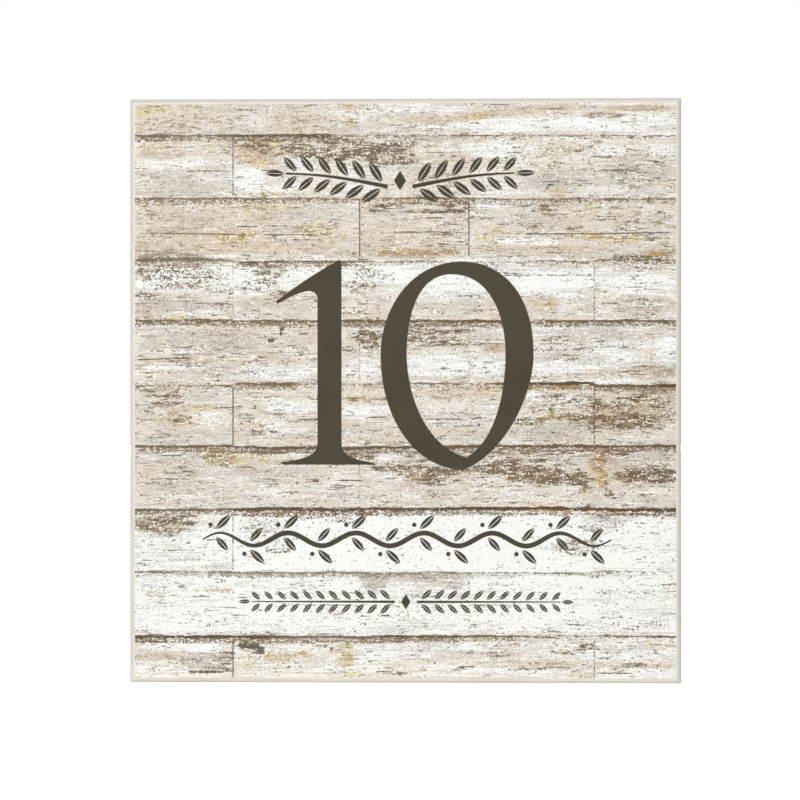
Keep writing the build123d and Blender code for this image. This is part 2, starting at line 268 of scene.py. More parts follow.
# %% Dabs of wear
WEAR = [
    (-80, 99, 18, 5, 0.2), (-60, 97, 12, 3, 0.3), (30, 98, 30, 4, 0.2), (84, 102, 15, 1.1, 0.2),
    (-64, 87.5, 3, 2.5, 0.6), (-56, 89.2, 8, 2.2, 0.9, -3), (-55, 89, 8, 2.6, 0.4),
    (-51, 87.2, 4, 2, 1), (-40, 87, 9, 4, 0.65), (-30, 87, 22, 4.5, 0.35), (-26, 91, 8, 1.5, 0.6),
    (-25, 85, 13, 4, 0.65), (-22, 90.3, 12, 1.6, 0.7), (-8, 86.5, 13, 5, 0.75), (-2, 83, 7, 1.8, 0.9),
    (0, 92, 12, 1.4, 0.5), (0, 86, 26, 5, 0.4), (30, 85, 14, 5, 0.3), (39, 91, 5, 2, 0.6),
    (62, 88, 5, 3, 0.5), (69, 89, 3.5, 2.5, 0.5), (84, 79.5, 10, 3, 0.2), (84, 78, 14, 8, 0.25),
    (-86, 62, 13, 6, 0.25), (-86, 48, 14, 1, 1.2), (-72, 48, 7, 0.8, 0.8), (-40, 60, 22, 7, 0.25),
    (-8, 66.5, 10, 1.8, 0.9), (10, 68, 15, 1.3, 0.9), (10, 65, 14, 1.2, 0.9), (20, 66, 8, 2.2, 0.7),
    (50, 60, 24, 7, 0.25), (52, 65.5, 8, 2.5, 0.55), (56, 69, 11, 1, 0.6), (85, 60, 13, 7, 0.3),
    (86, 48, 14, 1.1, 1.2),
    (-95, 43, 5, 3, 0.3), (-95, 34.5, 5, 2, 0.7), (-90, 34.8, 9, 1.2, 0.6), (-82, 42, 20, 6, 0.9),
    (-82, 41, 18, 6, 0.35), (-68, 37.5, 8, 2.5, 0.55), (-65, 43, 4, 2.4, 0.6), (-60, 36.2, 6, 1.6, 0.7),
    (-52, 38, 8, 2.2, 0.7), (-50, 43, 7, 3.6, 1), (-50, 36.3, 7, 1.2, 0.7), (-47, 42, 9, 5, 0.75),
    (-42, 35.5, 8, 1.2, 0.9, 4), (-15, 37.5, 8, 3.5, 0.5), (-14, 43, 6, 3, 0.55), (-12, 41, 10, 5, 0.4),
    (-12, 26, 6, 1.5, 0.6), (55, 44.8, 12, 1.3, 0.5), (84, 44.2, 12, 1.5, 0.5), (84, 40, 14, 5, 0.2),
    (86, 30, 13, 5, 0.35),
    (-85, 10, 14, 7, 0.3), (-50, 10, 14, 6, 0.25), (-40, 23.6, 8, 1.2, 0.6), (-35, 14, 4, 2, 0.5),
    (-14, 19.6, 8, 3, 1), (-12.5, 16.3, 5, 2.6, 1), (4, 23, 10, 1.5, 0.6), (5, 19, 20, 4, 0.4),
    (8, 21.2, 14, 1.2, 0.85), (10, 18.6, 14, 1.5, 0.6), (13, 16.8, 12, 0.9, 0.7),
    (13, 12.5, 12, 2.5, 0.35), (20, 21.8, 8, 1.2, 0.8), (33, 15.2, 5, 1.8, 0.5),
    (55, 18.5, 8, 2.6, 0.5), (55, 12, 14, 6, 0.3), (66, 17.6, 6, 1.2, 0.6),
    (-86, -3, 8, 3, 0.45), (-86, -6, 13, 7, 0.3), (-81, -11, 7, 3, 0.5), (-45, -14, 16, 5, 0.3),
    (-16, -3.3, 5, 1, 0.7), (45, -11, 7, 2, 0.8), (46, -11, 9, 2.2, 0.4), (48, -1.4, 2.4, 1.6, 0.9),
    (55, -6, 13, 6, 0.4), (58, -3, 10, 3, 0.55), (60, -9.6, 10, 1.4, 0.9), (64, -11, 5, 3, 0.4),
    (65, -6.5, 3, 2, 0.6), (65, -10.5, 4, 2.4, 0.9), (67.5, -12, 2.5, 6, 0.7), (68, -4, 3, 4, 0.5),
    (70, -8, 2.6, 7, 0.5), (80, -11, 12, 3, 0.35), (82, -8, 16, 8, 0.4), (85, -7, 14, 8, 0.38),
    (85, -13, 13, 2.5, 0.45), (92, -4, 6, 3, 0.4),
    (-86, -30, 13, 6, 0.25), (-70, -23, 6, 2, 0.6), (-68, -23.4, 9, 2.2, 0.4),
    (-50, -21.9, 14, 1.2, 0.8), (-15.5, -23.4, 7, 1.8, 1.1), (-15, -26, 7, 2.5, 0.6),
    (0, -28.3, 18, 1.4, 1), (4, -25, 8, 2.5, 0.3), (5, -27, 18, 6, 0.4), (7, -30.8, 14, 2, 0.6),
    (10, -33, 14, 1.8, 0.7), (12, -37, 14, 3, 0.3), (16, -29, 10, 2, 1), (22, -22.5, 6, 1.5, 0.9),
    (30, -28, 7, 2.4, 0.75), (34, -25, 9, 2.4, 0.55), (38, -28.5, 17, 2.3, 0.85),
    (45, -22, 20, 1.7, 0.8), (48, -24.5, 10, 1.6, 0.6), (48, -29, 20, 6, 0.45), (50, -31, 16, 4, 0.25),
    (51, -31.8, 17, 2.3, 1), (58, -33.3, 12, 1.4, 0.9), (64, -31, 3, 4, 0.5), (64, -32.4, 6, 2, 0.85),
    (65, -23, 3, 1.5, 0.7), (65.4, -35.6, 2.2, 2.4, 1), (70.5, -25.6, 4.4, 4.4, 0.65),
    (73, -33, 1.6, 4, 0.6), (73.4, -37, 1.8, 2, 0.7), (76, -22.3, 7, 1.7, 0.9), (80, -24, 6, 1.6, 0.5),
    (80, -37.5, 10, 1.5, 0.4), (85, -30.5, 13, 3, 0.75), (86, -30, 13, 6, 0.45), (93, -32, 7, 2.2, 1),
    (95, -30, 5, 3, 0.6), (96, -24, 3, 2, 0.6),
    (-92, -48, 10, 3, 0.8), (-88, -52.4, 10, 0.8, 0.7), (-86, -50.6, 12, 1.4, 0.7),
    (-82, -47, 10, 2.4, 0.65), (-80, -50, 16, 6, 0.35), (-78, -45.5, 4, 1, 0.9), (-52, -49, 11, 6, 0.6),
    (-46, -56, 8, 4, 0.6), (-46, -57.5, 6, 1.6, 0.65), (-40, -45, 20, 1.3, 0.8),
    (-30, -46.4, 14, 1.6, 0.35), (-24, -52.8, 4, 1.3, 0.6), (-20, -47, 10, 2, 0.4),
    (62, -56.5, 11, 4, 0.6), (68, -53, 7, 5, 0.35), (72, -48, 11, 4, 0.65),
    (4, -79, 18, 6, 0.25), (70, -84.5, 12, 2, 0.35), (73, -73, 10, 1.8, 0.45), (75, -78, 10, 1.4, 0.35),
    (88, -86, 12, 2.4, 0.4), (92, -84, 8, 2, 0.4),
    (-85, -97, 14, 6, 0.3), (-70, -101, 8, 1.5, 0.6), (-68, -101, 8, 1.2, 0.5), (-66, -96, 5, 5, 0.45),
    (-47, -92.5, 8, 2.2, 0.4), (-34, -92.5, 8, 1.5, 0.4), (5, -101.3, 4, 0.8, 0.7),
    (18, -101, 7, 1.2, 0.5), (20, -101, 4, 0.8, 0.6), (40, -97, 30, 6, 0.25), (60, -94.5, 9, 1.6, 0.6),
    (65, -92.6, 7, 1.6, 0.8), (74, -95, 7, 5, 0.45), (76, -100.6, 7, 1.4, 0.7), (86, -96, 13, 6, 0.3),
]
print(len(WEAR), "dabs of wear")

# %% [markdown]
# Where stains lie
# Bare wood is warm in places, damp leaves yellow marks, and thin paint looks grey. Each kind of stain is
# dabbed on by itself, as with separate washes, so that its colour is chosen once for all its dabs.

# %% Dabs of stain
# Soft tan and peach where the bare wood is warm
TAN = [
    (-85, 100, 18, 6, 0.5), (-63, 102.5, 9, 1.8, 0.5), (-40, 94, 12, 2, 0.5), (-35, 97.6, 20, 4.5, 0.5),
    (12, 98.6, 18, 1.8, 0.9, 1.5), (36, 100.8, 16, 1.8, 0.9, 3), (56, 102.4, 16, 1.6, 0.9),
    (84, 102.2, 16, 1.6, 0.9),
    (-88, 86.5, 12, 4, 0.9), (-58, 86, 6, 5, 1), (-54, 84.5, 8, 3.5, 0.4), (-52, 82.6, 7, 3.4, 0.9),
    (14, 85, 12, 5, 0.3), (85, 84, 14, 1.4, 0.6),
    (-97, 52, 4, 4, 0.8), (-84, 55.5, 18, 4, 0.7), (-75, 61, 26, 7, 0.35), (-75, 59, 16, 3, 0.4),
    (-60, 51.6, 42, 2.4, 0.8), (-15, 50, 10, 2, 0.5), (0, 54, 20, 5, 0.4), (5, 49.6, 16, 1.6, 0.6),
    (10, 51, 30, 2, 0.5), (46, 54.6, 6, 1.2, 0.8), (50, 51, 30, 2.2, 0.7), (60, 62, 24, 6, 0.25),
    (92, 49.8, 9, 1.3, 1.2),
    (-88, 26.7, 12, 1.5, 0.8), (-46, 32, 14, 2.6, 0.4), (34, 29, 5, 4, 0.7), (50, 32.5, 7, 4, 0.8),
    (-88, 11.6, 13, 1.1, 1.1), (-72, 13.3, 15, 1.1, 0.9, 3), (-35, 20, 12, 4, 0.3),
    (33, 15.5, 6, 2, 0.9), (33, 15, 6, 2.4, 0.8), (34, 15.5, 4.5, 2, 0.9), (88, 6.2, 12, 3.4, 0.4),
    (92, 7, 7, 2, 0.4),
    (-95, -1.5, 6, 1.3, 0.6), (-82, -10, 12, 5, 0.5), (-52, -1.7, 10, 1.1, 0.9, 0.8),
    (-37, -2.6, 10, 1, 0.8, -1), (-17, -2.8, 6, 1.2, 0.9), (-5, -3.5, 6, 1, 0.7),
    (18, -2.2, 18, 1.1, 0.9, 2.4), (82, -6, 16, 7, 0.4), (84, -9, 15, 7, 0.4),
    (-85, -29, 16, 6, 0.3), (-85, -41, 16, 1.3, 0.6), (70, -26, 5, 5, 0.9), (70, -32, 4.5, 4.5, 0.6),
    (-89, -49, 13, 5, 0.5), (-54, -54, 5, 6, 0.3),
    (-90, -96.5, 10, 1.9, 0.8), (-19, -102.6, 8, 1.5, 0.6), (40, -96.5, 12, 2.2, 0.3),
    (42, -99.2, 34, 1.9, 0.7), (72, -98, 8, 3, 0.5), (85, -99.6, 15, 1.3, 0.6),
]
# Ochre and yellow stains, in specks
OCHRE = [
    (-93, 96, 7, 2.4, 0.45), (-92, 102, 8, 3, 0.6), (-21, 103, 4.5, 1.6, 0.95),
    (-20, 97.6, 3.5, 2.4, 0.85), (26, 98.5, 7, 2.4, 0.4), (27, 100.5, 6, 2.4, 0.55),
    (-92, 88.5, 8, 3, 0.45), (-60, 90, 6, 2.5, 0.6), (-53, 83, 5, 3, 0.7), (-50, 71.6, 9, 1, 0.7),
    (-48, 88.5, 6, 3.4, 0.75), (-36, 71.4, 7, 0.8, 0.6), (28, 89.5, 5, 1.8, 0.75),
    (43, 89, 6, 2.8, 0.65), (54, 82, 5, 2.4, 0.55), (55, 87.5, 7, 4, 0.65), (55, 72, 7, 2.2, 0.55),
    (91, 88, 4, 2.6, 0.4),
    (-92, 67, 6, 2, 0.5), (-63, 54.8, 8, 1.3, 1), (-62, 57, 14, 2, 0.5), (-60, 56.4, 8, 1.4, 0.8),
    (-55, 57.3, 6, 1, 0.7), (-50, 65, 14, 5, 0.4), (-32, 59, 8, 4, 0.6), (-30, 55.6, 12, 2.6, 0.55),
    (-3, 50.3, 10, 1.2, 1.1), (13, 50.2, 11, 1.2, 1), (30, 55, 6, 2, 0.55), (37, 58, 8, 2, 0.55),
    (65, 56, 7, 1.5, 0.95), (68, 56.5, 9, 2, 0.6), (69, 66.5, 4, 3, 0.6), (73, 54.2, 9, 1.3, 0.7),
    (80, 55, 9, 2, 0.8), (92, 49.6, 9, 1, 0.8),
    (-80, 26.5, 12, 1, 0.5), (53, 31, 5, 2, 0.45),
    (20, 18, 8, 1.4, 0.65),
    (-88, -3.5, 9, 3.6, 0.3), (-82, -10, 9, 4, 0.4), (-73, -6, 7, 1.5, 0.9), (-56, -12, 4, 2, 0.6),
    (-54, -6, 3.5, 3, 0.6), (-17, -2.9, 6, 1.2, 0.9), (30, 0.3, 8, 0.9, 0.9), (53, -8.4, 6, 1, 0.7),
    (55, 0.9, 12, 0.9, 1), (57, -9.8, 10, 1.3, 0.9), (82, -7, 15, 7, 0.3), (94, 1, 6, 1.2, 0.8),
    (-68, -23.6, 8, 2.4, 1.05), (-66, -26.3, 10, 1.8, 0.85), (-57, -24, 10, 2.4, 0.6),
    (-48, -26, 7, 1.4, 0.5), (3, -31, 6, 3, 0.5), (66, -36.3, 2.4, 1.6, 1), (70.5, -25.6, 5, 4.4, 0.65),
    (71, -31.5, 3.4, 4, 0.35), (71.5, -31.5, 3, 5, 0.6), (73, -37, 2.4, 1.3, 0.8),
    (78, -31, 4, 2.6, 0.65),
    (-55, -53, 5, 4, 0.5), (-55, -59.6, 6, 1.8, 0.8),
    (-91, -73.6, 6, 1.8, 0.65), (-90, -77, 4, 3, 0.45), (-78, -72.6, 6, 0.8, 0.5),
    (-68, -72.4, 8, 1, 0.85), (-26, -80, 6, 2, 0.4), (-25, -82.2, 6, 2.4, 0.6), (26, -80, 6, 2, 0.5),
    (27, -83, 6, 2, 0.45), (95, -74, 5, 1.8, 0.75),
    (-92, -92, 9, 2.4, 0.5), (-57, -98, 6, 3.4, 0.65), (-57, -99.2, 4.4, 0.6, 0.7),
    (-55, -94, 6, 2, 0.6), (-48, -95, 9, 2.4, 0.4), (-47, -97.4, 4.4, 0.7, 0.5), (-47, -98, 6, 3, 0.65),
    (-40, -95, 8, 2.4, 0.3), (-40, -101.5, 8, 1.8, 0.6), (-38, -96, 4.4, 0.6, 0.5),
    (-38, -97, 7, 2.4, 0.65), (-34, -94, 6, 2.4, 0.6), (-21.5, -95.5, 4.2, 6, 0.65),
    (-21.5, -95.8, 4, 0.7, 0.7), (-21.5, -99.7, 4, 0.7, 0.6), (-21, -97.2, 4, 0.6, 0.6),
    (-20.5, -92, 3.4, 0.6, 0.5), (-19, -102.5, 7, 1.5, 0.7), (28, -91, 6, 1.2, 0.5),
    (41, -91.5, 2, 1.2, 0.7), (60, -99.3, 12, 1, 0.5), (62, -103, 9, 1.2, 0.7), (90, -91, 9, 1.5, 0.6),
    (93, -92.3, 9, 0.8, 1),
]
# Cool grey shade in the wood and under thin paint
GREY = [
    (-88, 86, 10, 3, 0.6), (-80, 74, 20, 5, 0.5), (10, 91.5, 16, 1.4, 0.7), (55, 77, 14, 6, 0.5),
    (84, 79, 16, 7, 0.5),
    (-86, 31.5, 16, 4, 0.7), (-52, 31, 10, 4, 0.4), (15, 31, 16, 5, 0.5), (55, 44.9, 12, 1.2, 0.7),
    (84, 44.2, 12, 1.4, 0.7), (86, 31, 14, 5, 0.6),
    (-70, 18.5, 26, 5, 0.6), (-66, 15.5, 8, 2, 0.4), (-65, 19, 8, 3, 0.3), (-35, 14, 5, 2, 0.4),
    (66, 20, 16, 4, 0.25), (80, 19.6, 12, 1.4, 0.5),
    (-90, -8, 8, 4, 0.35), (-80, -17, 18, 3, 0.25), (-51, -6.6, 2.6, 2.2, 0.8), (55, -15, 14, 4, 0.5),
    (-48, -32, 12, 4, 0.25),
    (-47, -49, 10, 5, 0.25), (20, -44.8, 30, 0.9, 0.8), (52, -57, 6, 2, 0.7), (58, -56.6, 6, 2.4, 0.6),
    (62, -57, 10, 3.6, 0.3), (64, -60.6, 5, 2, 0.8), (72, -48, 10, 3.6, 0.3), (72, -56, 8, 2, 0.6),
    (75, -46.2, 9, 2, 0.8),
    (-11, -67.6, 6, 2, 1.1), (-11, -69, 6.5, 3.4, 0.7), (-11, -71.2, 5, 1.3, 1.1),
    (0, -66.4, 110, 1.4, 0.8), (8, -67.6, 15, 1.7, 0.8), (14, -68.6, 9, 1.8, 0.8),
    (18, -70.6, 5, 1.8, 1),
    (-72, -98.5, 11, 4, 0.7), (-30, -90, 20, 1.6, 0.5), (35, -95.6, 10, 1.3, 0.6),
]
print(len(TAN), "tan,", len(OCHRE), "ochre and", len(GREY), "grey dabs")

# %% [markdown]
# Knots, brown shade and cracks
# The darkest marks are small: knots, drips and dashes. Around them and along the seams the wood is a
# soft brown, which rust tints here and there. A crack is a thin line, so it has no height of its own.

# %% Dark and brown dabs, and cracks
# Dark knots, drips and dashes
DARK = [
    (-95, 80.8, 1.4, 0.5, 0.7), (-44.6, 88.4, 0.6, 2.2, 0.7), (-42.4, 88.2, 0.6, 2.6, 0.6),
    (32.4, 88.2, 1.2, 0.6, 0.9),
    (-85.7, 22.2, 0.8, 1.2, 0.8), (-51, 19.8, 1.6, 0.5, 0.65), (-48, 18.2, 2.3, 1.1, 1.2),
    (-46.8, 23, 0.9, 1, 0.7), (-45, 21.8, 0.8, 2.4, 1.1), (-16.3, 21.6, 0.8, 1.8, 0.8),
    (-55.5, -11.5, 1.2, 2, 0.7), (-54.7, -6.2, 0.8, 1.6, 0.7), (12, -12.5, 2.4, 0.5, 0.65),
    (27, -12.2, 1.7, 0.7, 1), (54, -15.2, 1, 0.8, 1),
    (-47, -34, 5, 0.6, 0.65), (-32, -32.8, 2.4, 0.5, 0.85),
    (-27, -44.2, 26, 1.1, 0.8),
    (-66, -82.8, 1.5, 0.5, 0.75), (-54, -88.8, 9, 0.8, 0.7), (-7, -81.5, 3.4, 0.6, 0.65),
    (82.5, -72.8, 1.4, 0.9, 0.85),
    (-72, -102.1, 8, 0.6, 1), (-72, -102.1, 10, 0.8, 0.5), (-58, -92.3, 4, 1.7, 1),
    (-56, -92.4, 5, 1.3, 1.1), (-54, -93.6, 4, 1.8, 0.6), (-52.4, -94.4, 2.4, 1.7, 1),
    (-26.5, -93.9, 1.1, 1, 1.1), (46, -100.8, 7, 0.55, 0.85),
]
# Soft brown shade, without specks
BROWN = [
    (70, 98.6, 9, 1.4, 0.3), (72, 99.3, 9, 2, 0.8), (84, 102.2, 14, 1.2, 0.35),
    (-60, 90, 6, 2, 0.4), (-55, 88.6, 9, 3.2, 0.8, -4), (-51, 87.2, 4, 2.4, 0.6),
    (-50, 91.4, 14, 1.3, 0.9, -1), (-24, 91, 14, 1.2, 0.5),
    (-96, 51, 5, 3, 0.3), (-86, 48.8, 14, 2.2, 1), (-85, 58, 8, 2, 0.3), (-70, 47.6, 8, 0.9, 0.5),
    (0, 49, 14, 1.2, 0.4), (4, 50.2, 18, 1.2, 0.4), (5, 49.6, 16, 1.4, 0.4), (20, 63, 5, 2, 0.4),
    (46, 54.3, 7, 1.4, 0.4), (46, 54, 6, 1.5, 0.4), (86, 48.4, 14, 1.2, 0.9), (92, 49.8, 9, 1.2, 0.4),
    (-96, 27.5, 5, 2.5, 0.7),
    (-66, 15.5, 8, 2, 0.2), (0, 24, 40, 1.2, 0.4), (8, 20, 18, 3, 0.35), (33, 15.4, 5, 1.6, 0.4),
    (94, 7, 6, 3.5, 0.7), (95, 3, 5, 1.4, 0.7),
    (-50, 1.6, 12, 0.9, 0.7), (55, 1.6, 13, 1, 0.9), (60, -9.6, 11, 1.8, 0.5), (70, -9, 4, 9, 0.45),
    (84, -8, 15, 7, 0.25), (84, -10, 15, 6, 0.2), (86, 1.2, 13, 1, 0.5), (93, 0.5, 6, 2, 0.6),
    (93, -2.5, 6, 3.5, 0.55), (94, 1, 6, 3, 0.5),
    (-71, -21.4, 8, 2, 0.8), (-71, -22.6, 7, 2, 0.5), (-70, -23, 6, 2, 0.4), (-68, -23.6, 9, 2, 0.3),
    (-68, -24, 8, 2.4, 0.35), (-57, -28.5, 7, 2.5, 0.35), (-15, -23.6, 7, 1.6, 0.6),
    (-10, -43, 40, 0.9, 0.8), (4, -29, 18, 3, 0.35), (20, -22.6, 50, 1.4, 0.4), (50, -30, 20, 4, 0.35),
    (60, -43.2, 40, 1, 0.9), (65.4, -35.6, 2, 2, 0.7), (70, -26, 4.5, 5, 0.5), (71, -24.5, 6, 2.4, 0.3),
    (72, -25.5, 6, 3, 0.5), (86, -26, 14, 4.5, 0.45), (86, -31, 13, 4, 0.45),
    (-94, -49, 7, 4, 0.5), (-90, -48, 11, 4, 0.4),
    (-57, -94.4, 5, 1.6, 0.5), (-56, -92.6, 5, 1.6, 0.8), (-55, -94, 6, 2, 0.8),
    (65, -92.6, 7, 1.4, 0.4), (67, -96.5, 6, 2, 0.5),
]
# Rust that tints what is brown
RUST = [
    (84, 102.2, 15, 1.6, 0.5),
    (-54, 87, 9, 5, 0.8),
    (4, 50.2, 20, 1.8, 0.8), (92, 49.8, 10, 1.6, 0.8),
    (33, 15, 6, 3, 0.8), (95, 3, 6, 3, 0.8),
    (55, 1.4, 14, 1.6, 0.5), (70, -9, 6, 10, 0.6), (86, -6, 13, 8, 0.35),
    (-68, -23.6, 9, 3, 0.7), (-22, -43.4, 34, 1.6, 0.3), (5, -29, 16, 4, 0.35), (48, -30, 18, 5, 0.35),
    (60, -43.2, 44, 1.6, 1), (70, -30, 5, 9, 0.4), (71, -27, 5, 9, 0.8), (88, -31, 12, 4, 0.35),
]
# Cracks: place of the middle, half the length, strength and the rise
CRACKS = [
    (-35, 103.7, 6, 0.6), (35, 103.6, 5, 0.6), (-49, 90.6, 5, 0.8, -1.2), (-46, 85.6, 2.4, 0.7, 1.4),
    (-72, 79.8, 9, 0.8), (78, 79.8, 9, 0.75), (70, 84.8, 4, 0.7), (-75, 57, 24, 0.8, -0.8),
    (-42, 56.6, 16, 0.8), (-57, 59.6, 5, 0.8), (-9, 65.2, 6, 0.6), (12, 64.6, 8, 0.6),
    (10, 62.6, 6, 0.6), (7, 57.5, 16, 0.8), (54, 56.8, 16, 0.9), (80, 57, 20, 0.9, 0.6),
    (-70, 31.7, 8, 0.75), (75, 31.7, 5, 0.65), (-88, 11.6, 11, 1, 0.8), (-65, -6.1, 7, 0.85, 0.8),
    (-35, -10.4, 5, 0.7), (-10, -9.6, 4.4, 0.95), (15, -10.3, 9, 0.75), (25, -9.9, 3.6, 0.85),
    (-57, -10, 4, 0.7), (-85, -23.6, 5, 0.85), (-92, -22.6, 4, 0.7), (-85, -32, 9, 0.65),
    (-79, -29.4, 3, 0.85), (-20, -32.5, 6, 0.75), (-22, -34.5, 4, 0.65), (-82, -57.9, 7, 0.6),
    (-30, -77.8, 16, 0.6), (32, -77.6, 12, 0.6), (-75, -74.6, 5, 0.6), (-65, -101.8, 4, 0.75),
    (-64, -95, 3, 0.85), (-64.5, -97, 3.4, 0.95), (-65, -99, 2.6, 0.75), (22, -100, 3.4, 0.95),
    (76, -102.2, 8, 0.95), (93, -89.2, 8, 0.8),
]
DABS = {
    "paint": PAINT,
    "wear": WEAR,
    "tan": TAN,
    "ochre": OCHRE,
    "grey": GREY,
    "dark": DARK,
    "brown": BROWN,
    "rust": RUST,
}
print(sum(len(dabs) for dabs in DABS.values()), "dabs and", len(CRACKS), "cracks")

# %% [markdown]
# Coats, seams and joints by strength
# Each plank has a coat of whitewash of its own, on which the marks are laid. A seam is darkest where the
# planks stand apart, and almost vanishes under thick paint, so its strength is given at a few places
# along it. A seam also lies a little higher or lower than the even pitch of the rows. A joint has one
# strength from end to end.

# %% Coat, seam and joint strengths
# Whitewash on the three planks of each row, from the top
PLANK_COATS = [
    (-0.5, -0.2, 0.1),
    (-0.2, -0.1, -0.1),
    (-0.5, -0.5, -0.4),
    (0.1, 0.1, 0.1),
    (-0.4, -0.1, 0.1),
    (-0.4, -0.3, -0.5),
    (-0.3, -0.3, -0.3),
    (0.7, 1.4, 1.2),
    (0.85, 0.6, 0.9),
    (0.2, 0.3, 0.4),
]
# Places along each seam, and its strength there
SEAM_STRENGTHS = [
    [(-98, 1), (-64, 0.9), (-60, 1.2), (-30, 1.2), (-22, 0.7), (10, 0.6), (30, 0.6), (45, 0.55),
     (98, 0.5)],
    [(-98, 0.9), (-55, 0.9), (-20, 0.7), (0, 0.9), (24, 0.7), (60, 0.7), (98, 0.75)],
    [(-98, 1), (-70, 0.8), (-62, 0.5), (-58, 1), (-20, 0.9), (-8, 0.6), (65, 0.55), (70, 0.75),
     (98, 0.75)],
    [(-98, 1), (-30, 1), (-10, 1.1), (40, 1.1), (47, 0.8), (52, 1), (98, 1)],
    [(-98, 0.75), (-75, 0.7), (-65, 0.75), (-60, 1), (-40, 0.95), (-35, 0.6), (25, 0.7), (32, 0.95),
     (45, 1.3), (67, 1.3), (69, 1), (98, 1.1)],
    [(-98, 0.95), (-80, 1), (-66, 1), (-58, 1.2), (-20, 1.1), (98, 1.05)],
    [(-98, 0.95), (-75, 0.9), (-70, 0.9), (-60, 1.3), (-50, 1.7), (-10, 1.5), (12, 1.3), (18, 1.5),
     (26, 1.4), (98, 1.5)],
    [(-98, 0.7), (-75, 0.7), (-70, 0.75), (-60, 0.95), (-48, 0.9), (-20, 0.75), (-15, 0.85), (20, 0.65),
     (50, 0.4), (64, 0.4), (72, 0.65), (98, 0.65)],
    [(-98, 1.3), (-62, 1.4), (-56, 1.6), (-46, 1.5), (-30, 1.2), (-20, 1.1), (-10, 1.15), (20, 0.9),
     (36, 0.9), (45, 0.6), (98, 0.55)],
]
# Places along each seam, and its lift there in millimetres
SEAM_LIFTS = [
    [(-64, -0.8), (-61, -0.85), (-20, -0.9), (0, -0.8), (60, -1), (98, -1.2)],
    [(0, -1), (30, -1.3), (98, -1.3)],
    [(-64, -0.5), (-61, -1.15), (68, -1.2), (70, -0.6)],
    [(-98, 0.25), (-64, 0.2), (-60, -0.05)],
    [(-64, -0.55), (-61, -0.1), (67, 0.05), (70, -0.75)],
    [(-64, -0.05), (-61, -0.4), (-20, -0.5), (24, 0.05), (98, 0.15)],
    [(-70, -0.3), (-60, -0.15), (-48, 0), (-20, -0.2), (20, 0.25), (67, 0.25), (70, -0.1)],
    [(-64, -0.1), (-61, -0.45), (67, -0.3), (70, 0.1)],
    [(-20, -1), (24, -0.6), (98, -0.5)],
]
# The left and the right joint of each row
JOINT_STRENGTHS = [
    (0.1, 0.0), (0.7, 0.2), (0.95, 0.85), (0.4, 0.55), (0.4, 0.5),
    (1.0, 0.7), (0.4, 0.1), (0.6, 0.3), (0.2, 0.35), (0.9, 0.6),
]
print("seams at", [round(height, 2) for height in SEAM_HEIGHTS])

# %% [markdown]
# From marks to points
# The marks are few, and the points of the print are many. These helpers work out what a point gets from
# the marks around it: a dab fades from its middle to its rim, a crack counts only close by, and a seam
# wavers a little about its line, as sawn edges do.

# %% Marks at a point
DAB_FULLNESS = 1.4
DAB_LIMIT = 1.2
CRACK_REACH = 0.9
SEAM_STRAY = 0.08
SEAM_STRAY_LENGTH = 31.0
SEAM_STRAY_SHIFT = 1.7


def paint_dabs(x, z, dabs):
    """Add up soft dabs at the given points."""
    total = np.zeros(len(x))
    for dab_x, dab_z, half_length, half_height, amount, *rise in dabs:
        slant = rise[0] / (2 * half_length) if rise else 0.0
        along = (x - dab_x) / half_length
        across = (z - dab_z - slant * (x - dab_x)) / half_height
        nearness = np.clip(DAB_FULLNESS * (1 - along ** 2 - across ** 2), 0, 1)
        total += amount * nearness ** 2 * (3 - 2 * nearness)
    return np.clip(total, -DAB_LIMIT, DAB_LIMIT)


def crack_lines(x, z):
    """How far each point lies over the crack nearest to it, and how strong that crack is there."""
    away = np.full(len(x), CRACK_REACH)
    strength = np.zeros(len(x))
    for crack_x, crack_z, half_length, depth, *rise in CRACKS:
        slant = rise[0] / (2 * half_length) if rise else 0.0
        along = np.abs(x - crack_x) / half_length
        offset = z - crack_z - slant * (x - crack_x)
        near = (along < 1) & (np.abs(offset) < np.abs(away))
        away[near] = offset[near]
        strength[near] = depth * (1 - along[near] ** 4)
    return away, strength


def plank_coat(x, z):
    """Thickness of the whitewash at the given points, by the plank that lies there or nearest."""
    heights = [(low + high) / 2 for low, high in zip(row_low, row_high)]
    numbers = np.argmin([np.abs(z - height) for height in heights], axis=0)
    coat = np.zeros(len(x))
    for number, row in enumerate(rows):
        joints = [(left[1][0] + right[0][0]) / 2 for left, right in zip(row, row[1:])]
        coats = np.array(PLANK_COATS[number])[np.searchsorted(joints, x)]
        coat = np.where(numbers == number, coats, coat)
    return coat


def seam_line(number, x):
    """Height of a seam along x: its own level, its lift and a slow stray."""
    places, lifts = zip(*SEAM_LIFTS[number])
    phase = x / SEAM_STRAY_LENGTH * 2 * math.pi + SEAM_STRAY_SHIFT * number
    return SEAM_HEIGHTS[number] + np.interp(x, places, lifts) + SEAM_STRAY * np.sin(phase)


def seam_strength(number, x):
    """Strength of a seam along x, drawn straight between its given places."""
    places, strengths = zip(*SEAM_STRENGTHS[number])
    return np.interp(x, places, strengths)


middle = [np.zeros(1), np.zeros(1)]
print("whitewash in the middle of the print:", plank_coat(*middle) + paint_dabs(*middle, PAINT))

# %% [markdown]
# Painting the points
# Every point of the print now gets its share of each mark, kept as an attribute of the mesh that the
# finish can read. Others tell how far the point lies over the seam below and under the seam above, and
# how strong the seam is. One gives each plank a number of its own, so that the grain breaks where two
# planks meet.

# %% Attributes on the print
FAR_FROM_SEAM = 50.0
SEAM_MARGIN = 1.0
PLANK_NUMBER_STEP = 2.37


def keep_attribute(mesh, name, values):
    """Store one number for every point of a mesh."""
    attribute = mesh.attributes.new(name, "FLOAT", "POINT")
    attribute.data.foreach_set("value", values.astype(np.float32))


